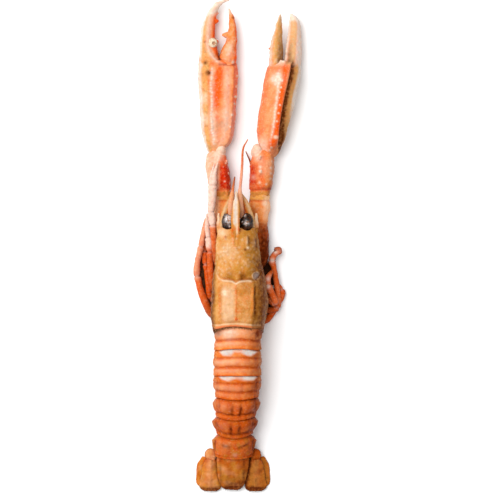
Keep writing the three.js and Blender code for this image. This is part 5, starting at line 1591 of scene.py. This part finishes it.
# %% Finish the thumbs
THUMB_SPECK = [-9.7, 116.0]  # X, Y of a pale speck on the left thumb
THUMB_STAINS = [[-9.9, 144.6, 0.8, 0.95], [-12.0, 130.0, 0.8, 0.25]]  # X, Y, radius and strength
for name, thumb in thumbs.items():
    path = paths[name]["thumb"]
    points = read_points(thumb)
    facing = read_normals(thumb)
    along, right, up = on_path(path, points)
    share = along / path["along"][-1]
    on_top = step(facing[:, 2], 0.05, 0.5)
    grain = bumps(points, scatter(points, facing[:, 2] > -0.5, 110, seed=140), 0.7)
    knuckle = bumps(points, scatter(points, (share < 0.3) & (facing[:, 2] > 0), 14, seed=141), 0.9)
    rib = bump(right, 0.1, 0.3) * on_top * step(share, 0.1, 0.3)
    height = 0.16 * uneven(points, 6, seed=142) + 0.08 * uneven(points, 2.4, seed=143)
    height += 0.12 * grain + 0.3 * knuckle + 0.35 * rib
    lift(thumb, height)
    if name == "left":
        blush = 0.05 + 0.9 * step(right, 0.4, 0.8) + 0.2 * step(share, 0.3, 0.05)
        pale = 0.45 * bump(share, 0.25, 0.15) * bump(right, -0.1, 0.5) + 0.9 * step(share, 0.84, 1.0)
        pale += 0.9 * bumps(points, THUMB_SPECK, 0.9) * on_top
        shade = marks(points, THUMB_STAINS) * on_top
        shade += 0.5 * step(right, -0.75, -1.0) * step(share, 0.35, 0.15)
        gold = np.zeros(len(points))
    else:
        blush = 0.5 * step(right, -0.5, -0.9) * step(share, 0.6, 0.3) + 0.35 * step(share, 0.25, 0.05)
        pale = 0.6 * bump(right, -0.5, 0.35) + 0.5 * step(share, 0.78, 1.0) + 0.3 * knuckle
        shade = 0.6 * step(right, 0.35, 0.85) * step(share, 0.75, 0.1) + 0.1 * step(right, 0, 0.5)
        gold = 1.0 * step(right, -0.15, 0.15) * step(share, 0.02, 0.12)
    pale += 0.2 * grain
    # Painted shade on the underside.
    shade += 0.35 * step(up, -0.4, -0.9)
    paint(thumb, blush=blush, pale=pale, shade=shade, gold=gold)
    dress(thumb, CLAW_FINISH, f"claw_thumb_{name}")

# %% Finish the wrists and arms
WRIST_SPOTS = {
    "left": [[-15.1, 40.4, 0.5, 1.0], [-14.3, 52.0, 0.5, 1.0], [-18.4, 56.4, 2.6, 0.8]],
    "right": [
        [7.5, 49.4, 0.9, 0.9], [7.5, 46.8, 0.8, 0.9], [7.2, 39.6, 0.8, 0.8], [14.4, 49.0, 0.8, 1.0],
        [14.2, 45.4, 0.7, 1.0], [14.2, 42.0, 0.7, 1.0], [11.4, 38.6, 0.7, 0.9], [6.0, 55.6, 2.4, 0.8],
        [3.4, 43.0, 1.6, 0.4],
    ],
}  # pale ones: X, Y, radius and strength
WRIST_BLUSHES = {"left": [[-15.6, 47.0, 2.4, 0.4]], "right": [[14.8, 36.8, 1.0, 1.0]]}
NECK_EDGE = 34.6  # Y where a wrist's golden neck begins
ARM_JOINT = 28.0  # Y of the ring round each arm
ARM_SPECK = [10.2, 26.4]
ARM_DARK_PATCH = [2.6, 20.0]
for name, claw in CLAWS.items():
    side = claw["side"]
    wrist = wrists[name]
    points = read_points(wrist)
    facing = read_normals(wrist)
    right = on_path(paths[name]["wrist"], points)[1]
    x, y, z = points.T
    on_knob = step(np.linalg.norm((points - claw["knob"][0]) / claw["knob"][1], axis=1), 1.25, 1.02)
    on_knob = on_knob * step(y, 54.5, 58.5)
    thorns = bumps(points, np.array(claw["wrist thorns"]) + [0.7, 1.5, 1.3], 1.5)
    grain = bumps(points, scatter(points, (z > 4) & (y < 55), 90, seed=150), 0.8)
    height = 0.22 * uneven(points, 7, seed=151) + 0.1 * uneven(points, 2.6, seed=152)
    height += 0.25 * grain * (1 - on_knob) - 0.25 * bump(y, 55, 0.8) * (1 - on_knob)
    height += 0.5 * bump(right, -side * 0.55, 0.12) * step(y, 54, 50) * (facing[:, 2] > 0)
    height -= 0.4 * bump(y, NECK_EDGE, 0.7)
    lift(wrist, height)

    mottled = step(uneven(points, 4.5, seed=153), -0.3, 0.6)
    neck = step(y, NECK_EDGE, 33.4)
    upward = step(facing[:, 2], -0.1, 0.3)
    blush = marks(points, WRIST_BLUSHES[name]) * upward
    pale = 0.95 * on_knob + 0.6 * step(thorns, 0.5, 0.9) + marks(points, WRIST_SPOTS[name]) * upward
    # Painted shade low down near the table.
    shade = 0.3 * step(z, 5, 2)
    gold = 0.9 * neck
    if name == "left":
        red = step(x, -19.0, -17.0) * band(y, 35.5, 50, 1.6)
        blush += 1.1 * red * (0.8 + 0.2 * mottled) + 0.5 * band(y, 50, 56, 1.5) * step(x, -19.8, -17.8)
        pale += 0.75 * step(x, -17.6, -20.0) * step(y, 34, 37) * (0.7 + 0.3 * mottled)
        # Painted shade on the right side.
        shade += 0.3 * step(right, 0.6, 0.95) * band(y, 36, 48, 2)
    else:
        # The redder band at Y 35.8 belongs to a painted shadow at the wrist's hind end.
        blush += 0.8 * step(x, 6.4, 3.6) * band(y, 38, 51, 2) + 0.5 * bump(y, 35.8, 1.4)
        blush += 0.05 * mottled * band(y, 36, 54, 2) * step(x, 12.5, 9)
        pale += 0.2 * band(y, 44, 55, 3) * step(x, 5, 8)
        # Painted shade on the right side, and the painted shadow at the hind end.
        shade += 0.45 * step(right, 0.55, 0.9) + 0.4 * bump(y, 35.8, 1.2) * step(x, 7, 10)
        gold += 0.35 * step(x, 9.5, 11.5) * step(y, 35, 37)
    paint(wrist, blush=blush * (1 - on_knob) * (1 - neck), pale=pale, shade=shade, gold=gold)
    dress(wrist, WRIST_FINISH, f"claw_wrist_{name}")

    arm = arms[name]
    points = read_points(arm)
    outward = -side * on_path(paths[name]["arm"], points)[1]
    y, z = points.T[1:]
    grain = bumps(points, scatter(points, (z > 3) & (y > -8), 90, seed=160), 0.8)
    height = 0.2 * uneven(points, 8, seed=161) + 0.1 * uneven(points, 2.8, seed=162) + 0.2 * grain
    height -= 0.5 * bump(y, ARM_JOINT, 0.7)
    lift(arm, height)
    mottled = step(uneven(points, 6, seed=163), -0.3, 0.8)
    blush = 0.1 + 0.15 * mottled + 1.0 * step(y, 18, 6) + 0.7 * bump(y, ARM_JOINT, 0.8)
    gold = 0.75 * step(y, ARM_JOINT, 29.4) + 0.15 * mottled
    # Painted light: the outer side is paler, against the shade that nearby parts cast on it.
    pale = 0.15 * grain + 0.5 * step(outward, 0.2, 0.7) * step(y, 12, 20)
    pale += 0.8 * bumps(points, ARM_SPECK, 1.6)
    # Painted shade where the arm goes under the carapace, and low down near the table.
    shade = 0.6 * step(y, 8, -4) + 0.3 * step(z, 5, 2)
    if name == "right":
        # Painted shade on the right arm's outer side, beside the carapace, and a darker patch.
        shade += 0.75 * step(outward, -0.5, 0.3) * step(y, 17, 10) + 0.35 * bumps(points, ARM_DARK_PATCH, 3.0)
    paint(arm, blush=blush, pale=pale, shade=shade, gold=gold)
    dress(arm, ARM_FINISH, f"claw_arm_{name}")

# %% [markdown]
# ## Walking legs
# Eight thin jointed legs lie folded along the body. Each joint is a narrow ring with a slight swelling
# before it. The legs are lofts along their stations, and the rings are pressed in at the stations that are
# joints. The first left leg ends in a small pincer, so its second finger is melted on.

# %% Model the legs
LEGS = {
    "walking_leg_1_left": ([3, 5, 7], [
        [-15.6, -19.0, 3.2, 2.2], [-19.6, -12.0, 6.4, 2.2], [-21.6, 2.0, 10.6, 2.1],
        [-22.6, 12.6, 13.4, 2.0], [-22.9, 16.0, 13.8, 2.4], [-23.6, 21.0, 14.0, 2.1],
        [-22.9, 27.6, 14.6, 2.5], [-22.4, 38.0, 15.2, 2.7], [-21.4, 45.0, 15.4, 1.5],
        [-19.3, 52.4, 15.2, 0.4],
    ]),
    "walking_leg_2_left": ([1, 3, 5], [
        [-15.6, -27.0, 2.6, 2.2], [-21.6, -28.6, 3.8, 2.2], [-23.8, -18.0, 5.6, 2.1],
        [-24.6, -4.4, 7.4, 1.9], [-24.7, -1.4, 7.8, 2.3], [-25.4, 5.0, 8.0, 1.9], [-26.2, 13.0, 8.4, 1.6],
        [-26.4, 20.0, 8.6, 0.4],
    ]),
    "walking_leg_3_left": ([1, 3, 5], [
        [-15.6, -34.0, 2.2, 2.0], [-23.6, -34.0, 2.2, 1.9], [-25.8, -23.0, 2.4, 1.8],
        [-27.4, -12.4, 2.6, 1.6], [-27.7, -9.8, 2.6, 1.9], [-28.0, -4.0, 2.4, 1.4], [-27.6, 6.4, 1.8, 0.4],
    ]),
    "walking_leg_4_left": ([1, 3, 6], [
        [-14.6, -42.0, 2.4, 2.3], [-22.4, -45.0, 2.4, 2.4], [-29.6, -31.4, 2.4, 2.3],
        [-32.6, -20.0, 2.6, 1.9], [-32.9, -16.4, 2.8, 2.2], [-32.4, -11.0, 3.6, 1.9],
        [-30.2, -1.0, 5.2, 1.8], [-28.6, 8.0, 6.0, 1.6], [-27.4, 17.0, 6.4, 0.4],
    ]),
    "walking_leg_1_right": ([2, 4], [
        [3.4, -19.0, 2.2, 2.0], [2.6, -8.0, 2.0, 1.9], [0.2, 6.0, 2.0, 1.7], [-0.4, 8.0, 2.1, 2.0],
        [-2.6, 17.0, 1.8, 1.5], [-4.6, 27.0, 1.2, 0.35],
    ]),
    "walking_leg_2_right": ([2, 4], [
        [3.8, -27.0, 2.4, 2.1], [11.0, -33.0, 6.0, 2.0], [17.0, -36.8, 9.0, 2.3], [15.2, -31.6, 9.8, 2.1],
        [12.4, -25.6, 10.8, 2.4], [12.2, -21.4, 11.0, 2.2], [15.2, -16.4, 10.6, 1.0],
    ]),
    "walking_leg_3_right": ([2, 5, 7], [
        [3.8, -35.0, 2.2, 2.0], [11.6, -41.4, 3.2, 2.1], [18.2, -39.6, 4.2, 2.2], [18.6, -30.0, 4.4, 1.9],
        [16.4, -15.0, 4.6, 1.8], [15.2, -9.8, 4.8, 2.2], [17.0, -5.8, 5.4, 1.9], [20.0, -3.2, 5.8, 2.0],
        [16.4, -2.4, 5.8, 1.0],
    ]),
    "walking_leg_4_right": ([2, 4], [
        [3.4, -44.0, 2.2, 2.1], [10.4, -48.4, 2.2, 2.1], [16.6, -41.4, 2.0, 1.9], [21.6, -31.4, 2.0, 2.1],
        [21.0, -28.4, 2.0, 1.6], [18.6, -24.0, 1.8, 0.5],
    ]),
}  # for each leg: which stations are joints, then its stations x, y, z and half thickness
LEG_COLOURS = {
    "walking_leg_1_left": [12.0, 1.0, 0.3], "walking_leg_2_left": [-2.0, 0.85, 0.7],
    "walking_leg_3_left": [2.0, 0.4, 1.0], "walking_leg_4_left": [-22.0, 0.2, 0.65],
    "walking_leg_1_right": [10.0, 0.4, 0.6], "walking_leg_2_right": [20.0, 0.1, 0.6],
    "walking_leg_3_right": [20.0, 0.1, 0.6], "walking_leg_4_right": [20.0, 0.1, 0.9],
}  # Y where the paler end begins, how pale it is, and how red the rest is
LEG_HIGHLIGHTS = [[17.4, -4.4], [15.4, -9.8], [12.6, -21.4], [12.4, -26.6]]  # X, Y of painted highlights
LEG_PINCER = [[-23.6, 36.6, 15.4, 1.5], [-23.6, 43.0, 15.8, 1.1], [-21.6, 51.4, 16.2, 0.3]]


def leg_relief(path, joints):
    """Rings pressed in at the joints, each behind a slight swelling."""
    places = [path["stations"][joint] for joint in joints]

    def raised(along, angle):
        return sum(0.28 * bump(along, at - 1.4, 1.1) - 0.5 * bump(along, at, 0.45) for at in places)

    return raised


for seed, (node, (joints, stations)) in enumerate(LEGS.items()):
    path = course(whip(stations))
    leg = limb(f"{node}_skin", path, 28, 110, 2.0, leg_relief(path, joints))
    if node == "walking_leg_1_left":
        leg = melt(f"{node}_skin", [leg, limb("pincer", course(whip(LEG_PINCER)), 20, 20)], 0.28, 1)
    points = read_points(leg)
    along, right, up = on_path(path, points)
    share = along / path["along"][-1]
    rings_here = sum(bump(along, path["stations"][joint], 0.7) for joint in joints)
    lift(leg, 0.10 * uneven(points, 4.5, seed=170 + seed) + 0.05 * uneven(points, 1.8, seed=180 + seed))
    pale_from, pale_most, red = LEG_COLOURS[node]
    upper = step(points[:, 1], pale_from - 2, pale_from + 2)
    # Painted highlights: the tops of the pale ends and of the joint rings are paler.
    pale = pale_most * upper * (0.7 + 0.3 * bump(up, 1, 0.6)) + 0.5 * bump(up, 1, 0.4) * rings_here
    blush = red * (1 - upper) + 0.3 * rings_here
    # Painted shade underneath and near the body; the darker joint rings are the shell's own.
    shade = 0.5 * step(share, 0.35, 0.1) + 0.2 * rings_here + 0.35 * step(up, -0.2, -0.8)
    if node.endswith("right"):
        # On the right legs: painted shade on the sides and painted highlights; the dark tips are their own
        # colour.
        shade = shade + 0.35 * step(np.abs(right), 0.5, 0.95) + 0.6 * step(share, 0.9, 1.0)
        pale = pale + 0.9 * bumps(points, LEG_HIGHLIGHTS, 1.5) * step(up, -0.2, 0.5) * (points[:, 2] > 4)
    paint(leg, blush=blush, pale=pale, shade=shade)
    dress(leg, LEG_FINISH, node)

# %% [markdown]
# ## Leg bases
# The legs grow from short flat joints at the sides of the belly. They lie in deep shade under the edge of
# the carapace, and their near-black colour is painted shade. They could be left out, but then the white
# table would shine through between the legs. Each is a flat limb, and the ones of a side are melted to one
# piece.

# %% Model the leg bases
LEG_BASES = {
    "left": [[-30.0, -7.6], [-30.8, -12.6], [-30.8, -18.6], [-30.6, -25.4], [-28.6, -32.0], [-25.6, -38.0]],
    "right": [[14.8, -14.6], [17.2, -22.0], [17.4, -31.0], [15.8, -39.0]],
}  # X, Y of their outer ends
BASE_ROOT = 11.0  # how far beside the body's middle they begin
# A near-black finish that paints the deep shade under the carapace.
DEEP_SHADE = shell_finish(
    "leg base shell", ground=(58, 26, 12), second=(40, 17, 8), blush=(96, 40, 10), pale=(120, 62, 30),
    shade=(24, 9, 3), cloud=3.0,
)
for side, name in ((-1, "left"), (1, "right")):
    parts = []
    for tip_x, tip_y in LEG_BASES[name]:
        root_x = float(body_x(tip_y)) + side * BASE_ROOT
        stations = [
            [root_x, tip_y - 1, 2.0, 4.8, 1.7],
            [(root_x + tip_x) / 2, tip_y, 1.7, 4.6, 1.5],
            [tip_x, tip_y, 1.2, 3.4, 1.0],
        ]
        parts.append(limb("base", course(stations), 24, 20))
    bases = melt(f"leg_bases_{name}", parts, 0.4, 2)
    lift(bases, 0.25 * uneven(read_points(bases), 5, seed=190))
    dress(bases, DEEP_SHADE)

# %% [markdown]
# ## Belly plate
# Between the legs lies the narrow plate that the animal rests on. It is flat below. Furrows across it mark
# the segments that the legs grow from.

# %% Model the belly plate
BELLY_ROWS = [
    [0, 4.5, 9.6, 4.0], [12, 6.0, 7.4, 1.6], [24, 7.2, 4.8, -0.2], [34, 7.6, 3.4, -0.3], [52, 6.6, 3.2, -0.3],
]  # distance behind its front, half width, upper height, lower height
BELLY_FRONT = 3.0
BELLY_LENGTH = 52.0
BELLY_FURROW = 10.4  # spacing of the furrows across it


def belly_place(t, angle, reach):
    """Sends the rod's points to the belly plate."""
    half_width, top, low = read_rows(BELLY_ROWS, t * BELLY_LENGTH).T
    y = BELLY_FRONT - t * BELLY_LENGTH
    furrow = 0.4 * bump((y / BELLY_FURROW) % 1, 0.5, 0.08)
    across, up = outline(angle, half_width - furrow, (top - low) / 2, 5)
    z = np.maximum((top + low) / 2 + up * reach, 0)
    z += furrow * (np.sin(angle) < -0.5) * reach
    return np.column_stack([body_x(y) + across * reach, y, z])


belly = loft("belly_plate_skin", 40, 80, belly_place)
points = read_points(belly)
even = np.ones(len(points))
paint(belly, blush=0.2 * even, pale=0.4 * even, shade=0.3 * step(points[:, 2], 1, 4))
dress(belly, HEAD_FINISH, "belly_plate")

# %% [markdown]
# ## Barnacle
# A small acorn barnacle sits on the left claw. It is a ring of six chalky plates round a brown mouth. It
# is modelled from a cylinder: the top face is inset and pushed down for the mouth, and then the wall is
# ribbed by moving its points in and out.

# %% Model the barnacle
BARNACLE = {"place": (-22.8, 128.5), "foot": 9.6, "radius": 3.3, "height": 2.6}
MOUTH = {"place": (-21.8, 128.1), "radius": 1.5}
PLATES = 6
RIBS = 18
bpy.ops.object.select_all(action="DESELECT")
bpy.ops.mesh.primitive_cylinder_add(
    vertices=72, radius=BARNACLE["radius"] * MM, depth=BARNACLE["height"] * MM, end_fill_type="NGON",
    location=(
        BARNACLE["place"][0] * MM, BARNACLE["place"][1] * MM,
        (BARNACLE["foot"] + BARNACLE["height"] / 2) * MM,
    ),
)
barnacle = bpy.context.active_object
barnacle.name = barnacle.data.name = "barnacle_skin"
bpy.ops.object.transform_apply(location=True, rotation=True, scale=True)
bpy.ops.object.mode_set(mode="EDIT")
bpy.ops.mesh.select_mode(type="FACE")
bpy.ops.mesh.select_all(action="DESELECT")
bpy.ops.object.mode_set(mode="OBJECT")
for face in barnacle.data.polygons:
    face.select = face.normal.z > 0.9
bpy.ops.object.mode_set(mode="EDIT")
for inset, sink in ((1.1, 0.0), (0.7, 0.0), (0.25, 0.0), (0.25, 0.5), (0.3, 0.3)):
    bpy.ops.mesh.inset(thickness=inset * MM, depth=-sink * MM)
bpy.ops.mesh.select_all(action="DESELECT")
bpy.ops.object.mode_set(mode="OBJECT")
for edge in barnacle.data.edges:
    ends = [barnacle.data.vertices[index].co for index in edge.vertices]
    edge.select = abs(ends[0].z - ends[1].z) > 1.5 * MM
bpy.ops.object.mode_set(mode="EDIT")
bpy.ops.mesh.select_mode(type="EDGE")
bpy.ops.mesh.subdivide(number_cuts=6)
bpy.ops.object.mode_set(mode="OBJECT")
points = read_points(barnacle)
away = points[:, :2] - BARNACLE["place"]
angle = np.arctan2(away[:, 1], away[:, 0])
radius = np.linalg.norm(away, axis=1)
rise = (points[:, 2] - BARNACLE["foot"]) / BARNACLE["height"]
on_wall = step(radius, 1.3, 1.8)
seams = np.abs(np.sin(angle * PLATES / 2 + 0.4))
waist = 1 - 0.3 * rise.clip(0, 1) ** 1.6 * step(radius, 2.0, 2.6)
ribbed = 1 + on_wall * (0.025 * np.cos(angle * RIBS) - 0.06 * step(seams, 0.3, 0.0))
shift = (np.array(MOUTH["place"]) - BARNACLE["place"]) * (1 - step(radius, 1.2, 2.4))[:, None]
points[:, :2] = BARNACLE["place"] + away * (waist * ribbed)[:, None] + shift
points[:, 2] -= 0.5 * step(radius, 1.6, 2.4) * step(rise, 0.9, 0.99)
points[:, 2] += 0.18 * on_wall * np.cos(angle * 3 + 1) * rise.clip(0, 1)
write_points(barnacle, points)
face_outwards(barnacle)


def lime_finish():
    """Chalky cream lime with a brown mouth where the mask shade is painted."""
    material, tree, shader = new_finish("barnacle lime")
    patches = spread(tree, noise(tree, 1.2, 4.0), 0.4, 0.65)
    chalk = tint(tree, patches, srgb(216, 198, 170), srgb(194, 168, 134))
    colour = tint(tree, mask(tree, "shade"), chalk, srgb(160, 100, 60))
    tree.links.new(colour, shader.inputs["Base Color"])
    tree.links.new(spread(tree, noise(tree, 0.8), 0.3, 0.7, 0.6, 0.85), shader.inputs["Roughness"])
    relief(tree, shader, noise(tree, 0.5, 4.0), 0.15)
    return material


paint(barnacle, shade=0.85 * step(radius, 1.5, 0.8) + 0.25 * step(seams, 0.25, 0.0) * on_wall)
dress(barnacle, lime_finish(), "barnacle")

# %% [markdown]
# ## Bristles
# A dark fringe of short hair grows under the carapace's hind rim, and the tail fan's blades end in a comb
# of bristles. A particle system would be lost when the model is exported, so one thin cone is modelled and
# then copied along each edge, and the copies are joined into one piece.

# %% Copy one bristle along the edges
def bristle_finish(name, dark, light):
    """A dull hair colour that varies a little from place to place."""
    material, tree, shader = new_finish(name)
    colour = tint(tree, spread(tree, noise(tree, 1.5, 2.0), 0.35, 0.65), srgb(*dark), srgb(*light))
    tree.links.new(colour, shader.inputs["Base Color"])
    tree.links.new(spread(tree, noise(tree, 0.7), 0.3, 0.7, 0.5, 0.7), shader.inputs["Roughness"])
    return material


def comb(name, feet, aims, length, thickness, seed):
    """Many copies of one bristle, joined. feet and aims are rows of x, y, z."""
    chance = np.random.default_rng(seed)
    bpy.ops.object.select_all(action="DESELECT")
    bpy.ops.mesh.primitive_cone_add(
        vertices=4, radius1=thickness * MM, depth=length * MM, location=(0, 0, length / 2 * MM),
    )
    bpy.ops.object.transform_apply(location=True, rotation=True, scale=True)
    first = bpy.context.active_object
    copies = []
    for foot, aim in zip(feet, aims):
        copy = first.copy()
        copy.data = first.data.copy()
        bpy.context.collection.objects.link(copy)
        copy.location = Vector(foot) * MM
        leaning = Vector(aim) + Vector(chance.normal(0, 0.14, 3))
        copy.rotation_euler = leaning.to_track_quat("Z", "Y").to_euler()
        copy.scale = (1, 1, chance.uniform(0.6, 1.1))
        copies.append(copy)
    bpy.data.objects.remove(first)
    piece = join(name, copies)
    bpy.ops.object.transform_apply(location=True, rotation=True, scale=True)
    return piece


FRINGE_HAIRS = 280
FRINGE_PLACE = 0.985  # the share of the shield's loft where they grow
BLADE_HAIRS = 110  # on each blade
FRINGED_BLADES = [
    "telson", "tail_fan_inner_left", "tail_fan_inner_right", "tail_fan_outer_left", "tail_fan_outer_right",
]
angles = np.radians(np.linspace(6, 174, FRINGE_HAIRS))
rim_t = np.full(len(angles), FRINGE_PLACE)
fringe_feet = carapace_place(rim_t, angles, np.ones(len(angles))) + [0, 0.2, -0.2]
fringe = comb("carapace_fringe", fringe_feet, np.tile([0, -1, 0.1], (len(angles), 1)), 2.7, 0.2, seed=200)
dress(fringe, bristle_finish("fringe hair", (104, 62, 26), (170, 112, 56)))
feet, aims = [], []
for node in FRINGED_BLADES:
    points = read_points(fan[node])
    facing = read_normals(fan[node])
    rim = np.flatnonzero((np.abs(facing[:, 2]) < 0.35) & (facing[:, 1] < -0.25) & (points[:, 1] < -146))
    chosen = rim[np.random.default_rng(201).permutation(len(rim))[:BLADE_HAIRS]]
    feet.append(points[chosen] - facing[chosen] * 0.3)
    aims.append(facing[chosen] * [0.6, 1, 0] + [0, -0.6, -0.05])
fan_comb = comb("tail_fan_bristles", np.concatenate(feet), np.concatenate(aims), 0.9, 0.10, seed=202)
dress(fan_comb, bristle_finish("fan bristle", (96, 44, 10), (150, 84, 30)))

# %% [markdown]
# ## Floor, light and camera
# The animal is seen from straight above, in even studio light that comes a little from the upper left. The
# floor is a plain pale plane. A large soft lamp gives the shell its form, and a bright sky fills the
# shadows.

# %% Floor
FLOOR_SIZE = 4.0  # m
bpy.ops.object.select_all(action="DESELECT")
bpy.ops.mesh.primitive_plane_add(size=FLOOR_SIZE, location=(0, 0, 0))
floor = bpy.context.active_object
floor.name = "floor"
floor_material, floor_tree, floor_shader = new_finish("pale floor")
floor_colour = tint(floor_tree, noise(floor_tree, 80), srgb(249, 249, 249), srgb(246, 246, 246))
floor_tree.links.new(floor_colour, floor_shader.inputs["Base Color"])
floor_shader.inputs["Roughness"].default_value = 0.9
floor.data.materials.append(floor_material)

# %% Lights
scene = bpy.context.scene
scene.view_settings.view_transform = "Standard"
scene.world = scene.world or bpy.data.worlds.new("studio")
scene.world.use_nodes = True
sky = scene.world.node_tree.nodes["Background"]
sky.inputs["Color"].default_value = (1, 1, 1, 1)
sky.inputs["Strength"].default_value = 0.7


def lamp(name, place, size, power):
    """A square soft lamp that looks at the animal."""
    light = bpy.data.lights.new(name, "AREA")
    light.size = size
    light.energy = power
    holder = bpy.data.objects.new(name, light)
    scene.collection.objects.link(holder)
    holder.location = place
    holder.rotation_euler = (Vector((0, 0, 0)) - Vector(place)).to_track_quat("-Z", "Y").to_euler()
    return holder


KEY_PLACE = (-0.62, 0.42, 1.2)  # m
KEY_SIZE = 1.3  # m
KEY_POWER = 25.0  # W
lamp("key", KEY_PLACE, KEY_SIZE, KEY_POWER)

# %% Camera
CAMERA_HEIGHT = 1.56  # m above the table
FRAME_WIDTH = 0.320  # m of the table that the picture is wide
SENSOR = 36.0  # mm
VIEW_MIDDLE = (0.00109, -0.0032)  # m
camera_data = bpy.data.cameras.new("camera")
camera_data.sensor_width = SENSOR
camera_data.lens = SENSOR * CAMERA_HEIGHT / FRAME_WIDTH
camera = bpy.data.objects.new("camera", camera_data)
camera.location = (*VIEW_MIDDLE, CAMERA_HEIGHT)
scene.collection.objects.link(camera)
scene.camera = camera
print("the lens is", round(camera_data.lens, 1), "mm")
